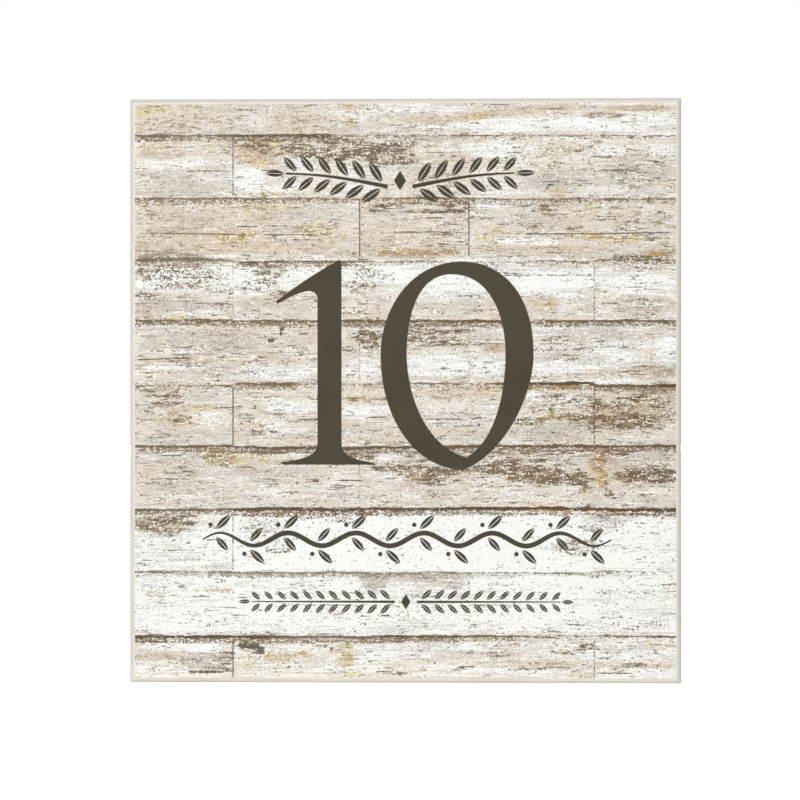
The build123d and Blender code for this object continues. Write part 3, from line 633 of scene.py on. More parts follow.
def inside(x, z, box):
    """True for the points that belong to a box of the print."""
    low, high = box
    level = (z > low[2] - TOUCHING) & (z < high[2] + TOUCHING)
    return level & (x > low[0] - TOUCHING) & (x < high[0] + TOUCHING)


def paint_seams(mesh, x, z):
    """Keep how far each point lies over the seam below and under the one above, and their strength."""
    half_row = (row_high[1] - row_low[1]) / 2
    over = np.full(len(x), FAR_FROM_SEAM)
    under = np.full(len(x), FAR_FROM_SEAM)
    strength = np.zeros(len(x))
    for number, height in enumerate(SEAM_HEIGHTS):
        line = seam_line(number, x)
        near = np.abs(z - height) < half_row + SEAM_MARGIN
        upper = near & (z >= height - SEAM_MARGIN)
        lower = near & (z <= height + SEAM_MARGIN)
        over[upper] = (z - line)[upper]
        under[lower] = (line - z)[lower]
        strength[near] = np.maximum(strength, seam_strength(number, x))[near]
    keep_attribute(mesh, "over_seam", over)
    keep_attribute(mesh, "under_seam", under)
    keep_attribute(mesh, "seam", strength)


def paint_piece(piece, boxes, joints):
    """Give a piece of the print its coat and dabs, its seams, its plank numbers and its joints."""
    mesh = piece.data
    places = np.empty(len(mesh.vertices) * 3)
    mesh.vertices.foreach_get("co", places)
    x, _, z = (places.reshape(-1, 3) / MM).T
    for kind, dabs in DABS.items():
        ground = plank_coat(x, z) if kind == "paint" else 0.0
        keep_attribute(mesh, kind, ground + paint_dabs(x, z, dabs))
    off_crack, crack = crack_lines(x, z)
    keep_attribute(mesh, "off_crack", off_crack)
    keep_attribute(mesh, "crack", crack)
    paint_seams(mesh, x, z)
    plank = np.zeros(len(x))
    for box in boxes:
        number = 1 + next(i for i, other in enumerate(every_plank) if other is box)
        plank[inside(x, z, box)] = number * PLANK_NUMBER_STEP
    keep_attribute(mesh, "plank", plank)
    joint = np.zeros(len(x))
    for place, box in enumerate(joints):
        joint[inside(x, z, box)] = JOINT_STRENGTHS[place // 2][place % 2]
    for box in seam_boxes:
        joint[inside(x, z, box)] = 0.0
    keep_attribute(mesh, "joint", joint)


paint_piece(beige_planks, plank_boxes["beige_planks"], [])
paint_piece(white_planks, plank_boxes["white_planks"], [])
paint_piece(worn_planks, plank_boxes["worn_planks"], [])
paint_piece(plank_seams, [], joint_boxes)
print("painted", ", ".join(piece.name for piece in print_pieces))

# %% [markdown]
# Colours
# Colours are picked on the usual scale to 255, whose steps look about even to the eye. The renderer works
# with linear light, so each colour is turned into that once, when it is named.


# %% Colour helper
def shade(red, green, blue):
    """A colour picked on the scale to 255, as the linear light that the renderer works with."""
    shares = [value / 255 for value in (red, green, blue)]
    linear = [share / 12.92 if share <= 0.04045 else ((share + 0.055) / 1.055) ** 2.4 for share in shares]
    return (*linear, 1.0)


print("a middle grey in linear light:", [round(value, 3) for value in shade(128, 128, 128)])

# %% [markdown]
# A bench for finishes
# A procedural finish is a chain of small steps: take the place on the object, stretch some noise
# along it, compare it with a level, mix two colours. The nodes could be placed one by one, but the
# planks alone need hundreds. The bench below has one short method for each step, so that a finish reads
# like a recipe.

# %% Finish bench
# The middle of plain noise and of a cell's value, and how far one octave and one cell spread around it
PLAIN_MIDDLE = 0.5
PLAIN_NOISE_SPREAD = 0.14
PLAIN_CELL_SPREAD = 0.22


class FinishBench:
    """A material and the steps that build its node tree."""

    def __init__(self, name):
        self.material = bpy.data.materials.new(name)
        self.material.use_nodes = True
        self.tree = self.material.node_tree
        self.surface = self.tree.nodes["Principled BSDF"]
        coordinates = self.tree.nodes.new("ShaderNodeTexCoord")
        to_mm = {0: coordinates.outputs["Object"], 1: (1 / MM,) * 3}
        scaled = self.step("ShaderNodeVectorMath", to_mm, operation="MULTIPLY")
        parts = self.step("ShaderNodeSeparateXYZ", {0: scaled.outputs[0]})
        self.x, self.y, self.z = parts.outputs
        self.shift = 0.0

    def step(self, kind, inputs, **settings):
        """Add one node, with its settings, constants and links."""
        made = self.tree.nodes.new(kind)
        for name, value in settings.items():
            setattr(made, name, value)
        for name, value in inputs.items():
            if isinstance(value, bpy.types.NodeSocket):
                self.tree.links.new(value, made.inputs[name])
            else:
                made.inputs[name].default_value = value
        return made

    def calc(self, operation, first, second=0.0, third=0.0):
        """One sum, product or comparison of numbers."""
        return self.step("ShaderNodeMath", {0: first, 1: second, 2: third}, operation=operation).outputs[0]

    def add(self, *terms):
        """The sum of pairs of a value and its weight."""
        total = 0.0
        for value, weight in terms:
            total = self.calc("MULTIPLY_ADD", value, weight, total)
        return total

    def attribute(self, name):
        """A number painted on the mesh."""
        return self.step("ShaderNodeAttribute", {}, attribute_name=name).outputs["Fac"]

    def noise(self, long, high, seed, detail=1, roughness=0.55):
        """Noise with features about so long and so high, in millimetres: mean 0 and spread about 1."""
        across = self.calc("DIVIDE", self.x, long)
        deep = self.calc("ADD", self.shift, seed)
        up = self.calc("DIVIDE", self.z, high)
        place = self.step("ShaderNodeCombineXYZ", {0: across, 1: deep, 2: up})
        inputs = {"Vector": place.outputs[0], "Scale": 1.0, "Detail": detail, "Roughness": roughness}
        fac = self.step("ShaderNodeTexNoise", inputs).outputs["Fac"]
        octaves = [roughness ** octave for octave in range(detail + 1)]
        spread = PLAIN_NOISE_SPREAD * math.hypot(*octaves) / sum(octaves)
        return self.calc("DIVIDE", self.calc("SUBTRACT", fac, PLAIN_MIDDLE), spread)

    def cells(self, long, high, seed):
        """Small cells with crisp edges, each with a value of its own: mean 0 and spread about 1."""
        across = self.calc("MULTIPLY_ADD", self.x, 1 / long, seed)
        up = self.calc("MULTIPLY_ADD", self.z, 1 / high, self.shift)
        place = self.step("ShaderNodeCombineXYZ", {0: across, 1: up})
        inputs = {"Vector": place.outputs[0], "Scale": 1.0}
        made = self.step("ShaderNodeTexVoronoi", inputs, voronoi_dimensions="2D")
        off_middle = self.calc("SUBTRACT", made.outputs["Color"], PLAIN_MIDDLE)
        return self.calc("DIVIDE", off_middle, PLAIN_CELL_SPREAD)

    def level(self, value, none, full):
        """A smooth step from 0 at one level to 1 at another, which may be the lower one."""
        inputs = {"Value": value, "From Min": none, "From Max": full}
        return self.step("ShaderNodeMapRange", inputs, interpolation_type="SMOOTHSTEP").outputs["Result"]

    def share(self, value, none, full, most):
        """The same step, from 0 to the most that is given."""
        return self.calc("MULTIPLY", self.level(value, none, full), most)

    def mix(self, share, below, above):
        """Lay one colour over another by a share from 0 to 1."""
        return self.step("ShaderNodeMix", {0: share, 6: below, 7: above}, data_type="RGBA").outputs[2]

    def colour(self, result):
        """Send the finished colour to the surface."""
        self.tree.links.new(result, self.surface.inputs["Base Color"])

    def set(self, **values):
        """Set plain values on the surface, by socket name with underscores."""
        for name, value in values.items():
            self.surface.inputs[name.replace("_", " ")].default_value = value

    def relief(self, height, depth):
        """A fine relief, in which a height of 1 is so many millimetres."""
        bump = self.step("ShaderNodeBump", {"Height": height, "Distance": depth * MM, "Strength": 1.0})
        self.tree.links.new(bump.outputs[0], self.surface.inputs["Normal"])


def finish(piece, material):
    """Give a piece one material all over."""
    piece.data.materials.clear()
    piece.data.materials.append(material)


bench_steps = [name for name in vars(FinishBench) if not name.startswith("_")]
print("bench with", ", ".join(bench_steps))

# %% [markdown]
# The whitewashed planks
# The print imitates weathered boards: warm grey wood with long fibres, a broken coat of white paint,
# brown flakes where both have worn away, and dark seams with crumbling edges. The layers are laid
# in that order. Each one is noise stretched along the grain, pushed up or down by the painted dabs,
# and cut at a level, which gives the fine ragged edges that real flaking paint has. The numbers beside
# the noises are the weights of that recipe.

# %% Grain of the planks
planks = FinishBench("whitewashed_planks")
planks.shift = planks.attribute("plank")
specks = planks.cells(long=0.4, high=0.37, seed=0.4)
dots = planks.cells(long=0.62, high=0.44, seed=0.7)
dashes = planks.cells(long=2.4, high=0.4, seed=1.3)
pepper = planks.cells(long=0.48, high=0.43, seed=5.9)
flecks = planks.noise(long=1.6, high=0.5, seed=9.4)
fibres = planks.noise(long=22.0, high=0.5, seed=5.2)
threads = planks.noise(long=36.0, high=0.9, seed=25.1, detail=2)
flakes = planks.noise(long=7.0, high=2.0, seed=15.9, detail=3, roughness=0.75)
lines = planks.noise(long=11.0, high=0.42, seed=41.3)
streaks = planks.noise(long=9.0, high=1.4, seed=12.6, detail=3)
patches = planks.noise(long=26.0, high=4.5, seed=7.7, detail=3)
broad = planks.noise(long=60.0, high=7.0, seed=1.3, detail=2)
hues = planks.noise(long=14.0, high=5.0, seed=18.2, detail=2)
crowds = planks.noise(long=10.0, high=3.0, seed=31.4, detail=2)
veils = planks.noise(long=7.0, high=2.2, seed=35.8, detail=2)
paint, wear, tan, ochre, grey, dark, brown, rust = (planks.attribute(kind) for kind in DABS)
restless = planks.add(
    (crowds, 0.35), (streaks, 0.2), (wear, 1.2), (ochre, 0.4), (paint, 0.5), (tan, -0.3),
)
busy = planks.level(restless, -0.4, 1.4)
print("grain set up")

# %% [markdown]
# Bare wood
# Bare boards drift slowly from grey to tan. Thin fibres darken them along the grain, and small crisp
# specks, dark and pale, gather in some places and leave others calm, as on a sandblasted surface.

# %% Bare wood
WOOD_GREY = shade(211, 203, 194)
WOOD_TAN = shade(221, 208, 191)
WOOD_PALE = shade(232, 223, 216)
WOOD_CREAM = shade(235, 225, 207)
PEACH = shade(211, 190, 160)
COOL_GREY = shade(178, 171, 163)
OCHRE_TINT = shade(224, 206, 142)
RUSTY_TINT = shade(214, 182, 126)
SOFT_BROWN = shade(142, 120, 90)
SOFT_RUST = shade(178, 141, 96)
FIBRE_SHADE = shade(170, 155, 135)
GRAIN_DARK = shade(114, 96, 71)
GRAIN_LIGHT = shade(255, 252, 242)

wood = planks.mix(planks.level(broad, -1.2, 1.2), WOOD_GREY, WOOD_TAN)
wood = planks.mix(planks.level(hues, -0.3, 2.0), wood, WOOD_PALE)
wood = planks.mix(planks.share(veils, 0.0, 2.0, 0.6), wood, WOOD_CREAM)
wood = planks.mix(planks.calc("MULTIPLY", tan, 0.7), wood, PEACH)
wood = planks.mix(planks.calc("MULTIPLY", grey, 0.6), wood, COOL_GREY)
tinted = planks.add((ochre, 2.5), (streaks, 0.4), (specks, 0.7), (dots, 0.45))
tint_shade = planks.mix(rust, OCHRE_TINT, RUSTY_TINT)
wood = planks.mix(planks.share(tinted, 1.0, 2.0, 0.8), wood, tint_shade)
brown_shade = planks.mix(rust, SOFT_BROWN, SOFT_RUST)
wood = planks.mix(planks.calc("MULTIPLY", brown, 0.8), wood, brown_shade)
fibrous = planks.add((fibres, 0.5), (threads, 0.4), (lines, 0.6), (dashes, 0.2))
wood = planks.mix(planks.share(fibrous, 0.3, 2.1, 0.38), wood, FIBRE_SHADE)
grain = planks.add((specks, 0.75), (dots, 0.3), (dashes, 0.4), (flecks, 0.2), (fibres, 0.25))
clear = planks.calc("MULTIPLY_ADD", busy, 0.6, 0.35)
dark_grain = planks.calc("MULTIPLY", planks.level(grain, 0.4, 2.0), clear)
wood = planks.mix(dark_grain, wood, GRAIN_DARK)
pale_grain = planks.calc("MULTIPLY", planks.level(grain, -0.2, -1.7), clear)
wood = planks.mix(pale_grain, wood, GRAIN_LIGHT)
print("bare wood mixed")

# %% [markdown]
# Whitewash
# Thin paint sinks in and leaves the wood grey. Over that lies the coat itself, which is rubbed off
# along the fibres first, so its edge follows them. Last comes a stipple of fine grey-brown dashes, which
# thick paint covers.

# %% Whitewash
THIN_PAINT = shade(217, 214, 208)
WHITEWASH = shade(254, 254, 252)
STIPPLE = shade(124, 112, 94)
THICK_PAINT = 0.9

thin = planks.share(planks.add((paint, 1.0), (grey, -0.8)), 0.1, 0.8, 0.9)
wood = planks.mix(thin, wood, THIN_PAINT)
coat = planks.add(
    (specks, 0.5), (dots, 0.3), (dashes, 0.45), (flecks, 0.3), (fibres, 0.5), (threads, 0.3),
    (streaks, 0.35), (patches, 0.35), (paint, 1.8), (grey, -1.6),
)
wood = planks.mix(planks.share(coat, 0.25, 0.9, 0.97), wood, WHITEWASH)
thick = planks.calc("MAXIMUM", planks.calc("SUBTRACT", paint, THICK_PAINT), 0.0)
stipple = planks.add(
    (lines, 0.65), (dashes, 0.55), (dots, 0.4), (fibres, 0.3), (crowds, 0.45), (thick, -1.5),
)
wood = planks.mix(planks.share(stipple, 1.35, 2.0, 0.9), wood, STIPPLE)
print("whitewash mixed")

# %% [markdown]
# Wear and stains
# Where the coat and the wood are worn, brown shows in ragged flakes with paint between them, and thick
# paint has fine chips. Damp has left ochre stains in fine specks, rusty in places.

# %% Wear and stains
OLD_BROWN = shade(110, 93, 72)
OLIVE_BROWN = shade(128, 111, 82)
RUST_BROWN = shade(148, 108, 70)
OCHRE_STAIN = shade(178, 154, 96)
RUSTY_STAIN = shade(166, 130, 78)
WORN_GREY = shade(128, 120, 109)
FADED_BROWN = shade(176, 157, 131)
FADED_OLIVE = shade(180, 163, 128)
FADED_GREY = shade(190, 184, 175)

covered = planks.calc("MAXIMUM", paint, 0.0)
faded = planks.add((wear, 1.3), (flakes, 0.3), (streaks, 0.3), (covered, -1.0))
faded_shade = planks.mix(planks.level(hues, -1.0, 1.0), FADED_BROWN, FADED_OLIVE)
faded_shade = planks.mix(grey, faded_shade, FADED_GREY)
wood = planks.mix(planks.share(faded, 0.2, 1.4, 0.6), wood, faded_shade)
worn = planks.add(
    (specks, 0.45), (dots, 0.45), (dashes, 0.5), (flecks, 0.35), (flakes, 0.7), (wear, 2.8),
    (covered, -2.4),
)
worn_shade = planks.mix(planks.level(hues, -1.0, 1.0), OLD_BROWN, OLIVE_BROWN)
worn_shade = planks.mix(planks.calc("MULTIPLY", rust, 0.6), worn_shade, RUST_BROWN)
worn_shade = planks.mix(grey, worn_shade, WORN_GREY)
wood = planks.mix(planks.level(worn, 2.4, 2.7), wood, worn_shade)
chipped = planks.calc("MINIMUM", planks.calc("MULTIPLY", wear, covered), 1.0)
chips = planks.add((specks, 0.8), (dots, 0.5), (dashes, 0.4), (streaks, 0.3), (chipped, 2.2))
wood = planks.mix(planks.level(chips, 2.2, 2.5), wood, worn_shade)
stain = planks.add(
    (specks, 0.7), (dots, 0.5), (dashes, 0.4), (flecks, 0.3), (patches, 0.3), (ochre, 2.4),
)
stain_shade = planks.mix(rust, OCHRE_STAIN, RUSTY_STAIN)
wood = planks.mix(planks.share(stain, 1.9, 2.7, 0.8), wood, stain_shade)
print("wear mixed")

# %% [markdown]
# Loose grains
# Single grains are the smallest marks of the print: dark ones and white ones, few on calm wood and
# many where it is worn. They are small cells of which only the extreme ones show.

# %% Loose grains
PEPPER = shade(80, 63, 43)
SALT = shade(255, 253, 245)

dark_grains = planks.add((pepper, 1.0), (dashes, 0.4), (busy, 1.1), (covered, -0.7))
wood = planks.mix(planks.share(dark_grains, 2.05, 2.3, 0.8), wood, PEPPER)
white_grains = planks.add((pepper, -0.85), (dashes, -0.55), (dots, 0.25), (busy, 0.85), (wear, -0.3))
wood = planks.mix(planks.share(white_grains, 1.6, 1.9, 0.92), wood, SALT)
print("loose grains strewn")

# %% [markdown]
# Knots and cracks
# Knots and drips are dark and crumbly. Cracks are thin lines along the grain that waver a little and
# fade at both ends, so the distance from a line is bent by noise before it is cut.

# %% Knots and cracks
KNOT_BROWN = shade(76, 59, 40)
CRACK_BROWN = shade(92, 73, 49)
CRACK_EDGE = 0.34
CRACK_CORE = 0.14

crumbs = planks.add((specks, 0.5), (dots, 0.4), (flecks, 0.5), (flakes, 0.4), (dark, 2.8))
wood = planks.mix(planks.share(crumbs, 1.8, 2.2, 0.92), wood, KNOT_BROWN)
off_crack = planks.add((planks.attribute("off_crack"), 1.0), (flecks, 0.05), (specks, 0.03))
hairline = planks.level(planks.calc("ABSOLUTE", off_crack), CRACK_EDGE, CRACK_CORE)
hairline = planks.calc("MULTIPLY", hairline, planks.attribute("crack"))
crack = planks.add((hairline, 2.2), (dashes, 0.2), (flecks, 0.15), (streaks, 0.2))
wood = planks.mix(planks.share(crack, 0.6, 1.5, 0.88), wood, CRACK_BROWN)
print("knots and cracks mixed")

# %% [markdown]
# Seams and joints
# A seam is a dark gap with a sharp upper edge. Under it the lower plank's edge is broken and brown,
# crumbling into sound wood within two or three millimetres, and here and there a second line, the lip,
# runs along it. Joints are plain thin lines.

# %% Seams and joints
SEAM_BROWN = shade(117, 97, 63)
SEAM_DEEP = shade(84, 66, 39)
BAND_BROWN = shade(122, 102, 67)
BAND_RUST = shade(172, 136, 92)
SEAM_RUST = shade(88, 60, 28)
SEAM_GREY = shade(131, 125, 116)
JOINT_BROWN = shade(70, 56, 40)
# Heights over the line of a seam of strength 1, half widths and fades, in millimetres
SEAM_RISE = 0.5
SEAM_EDGE = 0.4
BAND_TOP = 0.7
BAND_TOP_FADE = 0.4
BAND_FOOT = -1.9
BAND_FOOT_FADE = 0.8
LIP_HEIGHT = -1.3
LIP_EDGE = 0.35
LIP_CORE = 0.1

over = planks.attribute("over_seam")
under = planks.attribute("under_seam")
nearer = planks.calc("LESS_THAN", over, under)
above = planks.add((over, nearer), (under, planks.calc("SUBTRACT", nearer, 1.0)))
wobble = planks.noise(long=9.0, high=40.0, seed=21.3, detail=2)
swell = planks.noise(long=5.0, high=40.0, seed=27.5, detail=2)
above = planks.add((above, 1.0), (wobble, 0.08), (specks, 0.08), (flecks, 0.1))
seam = planks.attribute("seam")
seam_shade = planks.mix(planks.level(seam, 0.8, 1.3), SEAM_BROWN, SEAM_DEEP)
seam_shade = planks.mix(grey, planks.mix(rust, seam_shade, SEAM_RUST), SEAM_GREY)
band_shade = planks.mix(grey, planks.mix(rust, BAND_BROWN, BAND_RUST), SEAM_GREY)


def broken(profile, weight, *noises):
    """A stripe along the seam, by the seam's strength up to 1 and broken up by noise."""
    strength = planks.calc("MINIMUM", seam, 1.0)
    return planks.add((planks.calc("MULTIPLY", profile, strength), weight), *noises)


over_foot = planks.level(planks.calc("DIVIDE", above, seam), BAND_FOOT, BAND_FOOT + BAND_FOOT_FADE)
under_top = planks.level(above, BAND_TOP, BAND_TOP - BAND_TOP_FADE)
band_profile = planks.calc("MULTIPLY", over_foot, under_top)
band = broken(band_profile, 2.5, (specks, 0.5), (dots, 0.45), (flecks, 0.35), (crowds, 0.2))
wood = planks.mix(planks.share(band, 1.9, 2.4, 0.9), wood, band_shade)
lip_away = planks.calc("ABSOLUTE", planks.calc("SUBTRACT", above, LIP_HEIGHT))
lip_profile = planks.level(lip_away, LIP_EDGE, LIP_CORE)
lip = broken(lip_profile, 1.6, (flecks, 0.4), (threads, 0.6), (specks, 0.3))
wood = planks.mix(planks.share(lip, 1.5, 2.2, 0.8), wood, seam_shade)
core_away = planks.calc("ABSOLUTE", planks.calc("SUBTRACT", above, SEAM_RISE))
core_reach = planks.add((core_away, 1.0), (seam, -0.3), (swell, 0.1))
core_profile = planks.level(core_reach, SEAM_EDGE, 0.0)
core = broken(core_profile, 2.8, (flecks, 0.4), (specks, 0.3), (threads, 0.4))
wood = planks.mix(planks.level(core, 1.0, 2.2), wood, seam_shade)
joint = planks.add((planks.attribute("joint"), 2.4), (flecks, 0.4))
wood = planks.mix(planks.share(joint, 0.6, 2.2, 0.9), wood, JOINT_BROWN)

planks.colour(wood)
planks.set(Roughness=0.42, Specular_IOR_Level=0.2)
for piece in print_pieces:
    finish(piece, planks.material)
print("planks finish has", len(planks.tree.nodes), "nodes")

# %% [markdown]
# The number in dark ink
# The digits are printed a little proud of the planks, in a warm near-black. A fired ink is not
# perfectly even, so its tone drifts slightly. The solids keep their exact outlines from the frame.

# %% Number finish
INK = shade(76, 69, 57)
INK_LIGHT = shade(80, 73, 61)


def ink_finish():
    """Dark fired ink with a faint drift of tone."""
    bench = FinishBench("number_ink")
    drift = bench.noise(long=18.0, high=14.0, seed=2.2, detail=3)
    grain = bench.noise(long=0.7, high=0.7, seed=6.1)
    tone = bench.level(bench.add((drift, 1.0), (grain, 0.35)), -2.0, 2.0)
    bench.colour(bench.mix(tone, INK, INK_LIGHT))
    bench.set(Roughness=0.6, Specular_IOR_Level=0.08)
    return bench.material


ink_look = ink_finish()
for node in ("digit_one", "digit_zero"):
    finish(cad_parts[node], ink_look)
print("ink on the digits")

# %% [markdown]
# A leaf to copy
# Above and below the number stand plain ornaments: a spray, a vine and a garland, all of leaves. A leaf
# could be drawn point by point, but it is only two arcs that meet at the tips. So it starts as a disc
# that is cut along a chord, leaving one half leaf, and the other half is its mirror image. A hair of
# bare print between the halves is the vein.

# %% Leaf
FACE = float(PRINT_LOW[1])
INK_RISE = FACE - min(vertex.co.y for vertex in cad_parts["digit_one"].data.vertices) / MM
ORNAMENT_RISE = INK_RISE * 0.8
LEAF_LENGTH = 10.0
LEAF_WIDTH = 3.4
LEAF_VEIN = 0.3


def raise_ink(piece, height):
    """Pull a flat shape on the print's face forward to a closed solid."""
    select_only(piece)
    bpy.ops.object.mode_set(mode="EDIT")
    bpy.ops.mesh.select_all(action="SELECT")
    bpy.ops.mesh.extrude_region_move(TRANSFORM_OT_translate={"value": (0, -height * MM, 0)})
    bpy.ops.mesh.select_all(action="SELECT")
    bpy.ops.mesh.normals_make_consistent(inside=False)
    bpy.ops.object.mode_set(mode="OBJECT")
    return piece


def flat_disc(corners, radius, x=0.0, z=0.0):
    """A new flat disc on the print's face, with its object at the origin."""
    select_only()
    bpy.ops.mesh.primitive_circle_add(
        vertices=corners,
        radius=radius * MM,
        fill_type="NGON",
        location=(0, 0, 0),
        rotation=(math.radians(90), 0, 0),
    )
    disc = bpy.context.object
    bpy.ops.object.transform_apply(location=True, rotation=True, scale=True)
    disc.data.transform(Matrix.Translation((x * MM, FACE * MM, z * MM)))
    return disc


def leaf_shape():
    """One leaf along X around the middle of the print."""
    half_width = LEAF_WIDTH / 2
    radius = ((LEAF_LENGTH / 2) ** 2 + half_width ** 2) / (2 * half_width)
    leaf = flat_disc(corners=96, radius=radius, z=half_width - radius)
    bpy.ops.object.mode_set(mode="EDIT")
    bpy.ops.mesh.select_all(action="SELECT")
    bpy.ops.mesh.bisect(
        plane_co=(0, 0, LEAF_VEIN / 2 * MM),
        plane_no=(0, 0, 1),
        clear_inner=True,
        threshold=1e-7,
    )
    bpy.ops.mesh.select_all(action="SELECT")
    bpy.ops.mesh.duplicate()
    bpy.ops.transform.resize(value=(1, 1, -1), center_override=(0, FACE * MM, 0))
    bpy.ops.object.mode_set(mode="OBJECT")
    return raise_ink(leaf, ORNAMENT_RISE)


leaf_model = leaf_shape()
print("leaf of", len(leaf_model.data.polygons), "faces")

# %% [markdown]
# Stems
# A pen stroke swells and tapers. A smooth curve with its own radius at every point gives such a
# stroke as a tube. The tube is pressed flat and its back half is cut away at the print's face, so
# that it lies on the planks like a low bead of ink.

# %% Stems
STROKE_CROWN = 0.08


def stroke(path, widths):
    """A stroke of ink along points in X and Z, with a width at each point."""
    select_only()
    bpy.ops.curve.primitive_nurbs_path_add(radius=MM, location=(0, 0, 0))
    curve = bpy.context.object
    spline = curve.data.splines[0]
    spline.points.add(len(path) - len(spline.points))
    for point, (x, z), width in zip(spline.points, path, widths):
        point.co = (x * MM, 0, z * MM, 1)
        point.radius = width / 2
    spline.order_u = 3
    spline.use_endpoint_u = True
    spline.resolution_u = 6
    curve.data.bevel_depth = MM
    curve.data.bevel_resolution = 2
    curve.data.use_fill_caps = True
    bpy.ops.object.convert(target="MESH")
    bpy.ops.object.mode_set(mode="EDIT")
    bpy.ops.mesh.select_all(action="SELECT")
    bpy.ops.transform.resize(value=(1, STROKE_CROWN, 1), center_override=(0, 0, 0))
    bpy.ops.transform.translate(value=(0, FACE * MM, 0))
    bpy.ops.mesh.bisect(
        plane_co=(0, FACE * MM, 0),
        plane_no=(0, 1, 0),
        clear_outer=True,
        use_fill=True,
        threshold=1e-8,
    )
    bpy.ops.mesh.select_all(action="SELECT")
    bpy.ops.mesh.normals_make_consistent(inside=False)
    bpy.ops.object.mode_set(mode="OBJECT")
    return curve


print("a stem 1 mm wide stands", STROKE_CROWN / 2, "mm proud of the planks")

# %% [markdown]
# Leaves, berries and lozenges
# The leaf is modelled once, and each leaf of an ornament is a copy with a mesh of its own, sized, turned
# and set in place. A berry is a disc with many corners, and a lozenge is one with four, drawn narrow.
# The shapes of an ornament are joined in the end, because they are one print.


# %% Small shapes
def leaf_at(x, z, angle, length):
    """A copy of the leaf that starts at a place and points along an angle."""
    leaf = bpy.data.objects.new("leaf", leaf_model.data.copy())
    bpy.context.collection.objects.link(leaf)
    size = length / LEAF_LENGTH
    scale = Matrix.Diagonal((size, 1, size, 1))
    turn = Matrix.Rotation(-angle, 4, "Y")
    middle = (x + math.cos(angle) * length / 2, 0, z + math.sin(angle) * length / 2)
    leaf.data.transform(Matrix.Translation([value * MM for value in middle]) @ turn @ scale)
    return leaf


def berry(x, z, radius):
    """A round dot."""
    return raise_ink(flat_disc(corners=20, radius=radius, x=x, z=z), ORNAMENT_RISE)


def lozenge(x, z, half_width, half_height):
    """A standing diamond."""
    shape = flat_disc(corners=4, radius=half_height)
    shape.data.transform(Matrix.Diagonal((half_width / half_height, 1, 1, 1)))
    shape.data.transform(Matrix.Translation((x * MM, 0, z * MM)))
    return raise_ink(shape, ORNAMENT_RISE)


def ornament(name, shapes):
    """Join strokes and leaves to one piece of the object."""
    select_only(*shapes)
    bpy.ops.object.join()
    piece = bpy.context.object
    piece.name = name
    finish(piece, ink_look)
    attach(piece, "root")
    print(name, len(shapes), "shapes,", len(piece.data.polygons), "faces")


print("leaves, berries and lozenges stand", round(ORNAMENT_RISE, 3), "mm proud of the planks")

# %% [markdown]
# Branches
# A branch is a stem with pairs of leaves and one more leaf at its tip. Its line is a quarter of a sine
# wave, so it rises in a soft arch, or runs straight where it has no rise. The leaves are set along it at
# even steps and follow its slope. Two branches that mirror each other make a spray or a garland.

# %% Branches
LEAF_GAP = 0.4
BRANCH_STEPS = 8
BRANCH_TAPER = 0.6
FIRST_LEAF = 0.35
LOOK_AHEAD = 0.01


def branch(centre, side, reach, rise, width, leaves, lengths, spread):
    """One branch from near a centre outwards, with pairs of leaves and a leaf at its tip."""
    def place(share):
        x = centre[0] + side * (reach[0] + (reach[1] - reach[0]) * share)
        z = centre[1] + rise[0] + (rise[1] - rise[0]) * math.sin(math.pi / 2 * share)
        return x, z

    shares = [step / BRANCH_STEPS for step in range(BRANCH_STEPS + 1)]
    path = [place(share) for share in shares]
    shapes = [stroke(path, [width * (1.0 - BRANCH_TAPER * share) for share in shares])]
    for number in range(leaves):
        share = (number + FIRST_LEAF) / leaves
        x, z = place(share)
        ahead_x, ahead_z = place(share + LOOK_AHEAD)
        along = math.atan2(ahead_z - z, ahead_x - x)
        length = lengths[0] + (lengths[1] - lengths[0]) * share
        clear = width * (1.0 - BRANCH_TAPER * share) / 2 + LEAF_GAP
        for turn in (1, -1):
            across = along + turn * math.pi / 2
            start = (x + math.cos(across) * clear, z + math.sin(across) * clear)
            shapes.append(leaf_at(*start, along + turn * spread, length))
    tip_x, tip_z = path[-1]
    along = math.atan2(tip_z - path[-2][1], tip_x - path[-2][0])
    tip = (tip_x + math.cos(along) * LEAF_GAP, tip_z + math.sin(along) * LEAF_GAP)
    shapes.append(leaf_at(*tip, along, lengths[1]))
    return shapes


def spray(name, centre, reach, rise, width, leaves, lengths, spread, diamond):
    """Two branches that mirror each other, with a lozenge between."""
    shapes = [lozenge(*centre, *diamond)]
    for side in (1, -1):
        shapes += branch(centre, side, reach, rise, width, leaves, lengths, spread)
    ornament(name, shapes)


print("branch of", BRANCH_STEPS, "steps")

# %% [markdown]
# Vine
# The vine runs in even waves. Each bend has a leaf on its outer side, another on its inner side and a
# berry, all set a little back from the crest, so that they seem to grow along the stem. The stem thins
# out at both ends.

# %% Vine
STEPS_PER_WAVE = 12
VINE_TIP = 0.3
VINE_SWELL = 4
LEAVES_BACK = 1 / 16
BERRY_BACK = 1 / 7
OUTER_LEAF_ANGLE = math.radians(44)
INNER_LEAF_ANGLE = math.radians(48)
INNER_LEAF_GAP = 0.3
BERRY_RISE = 2.9
BERRY_RADIUS = 0.8


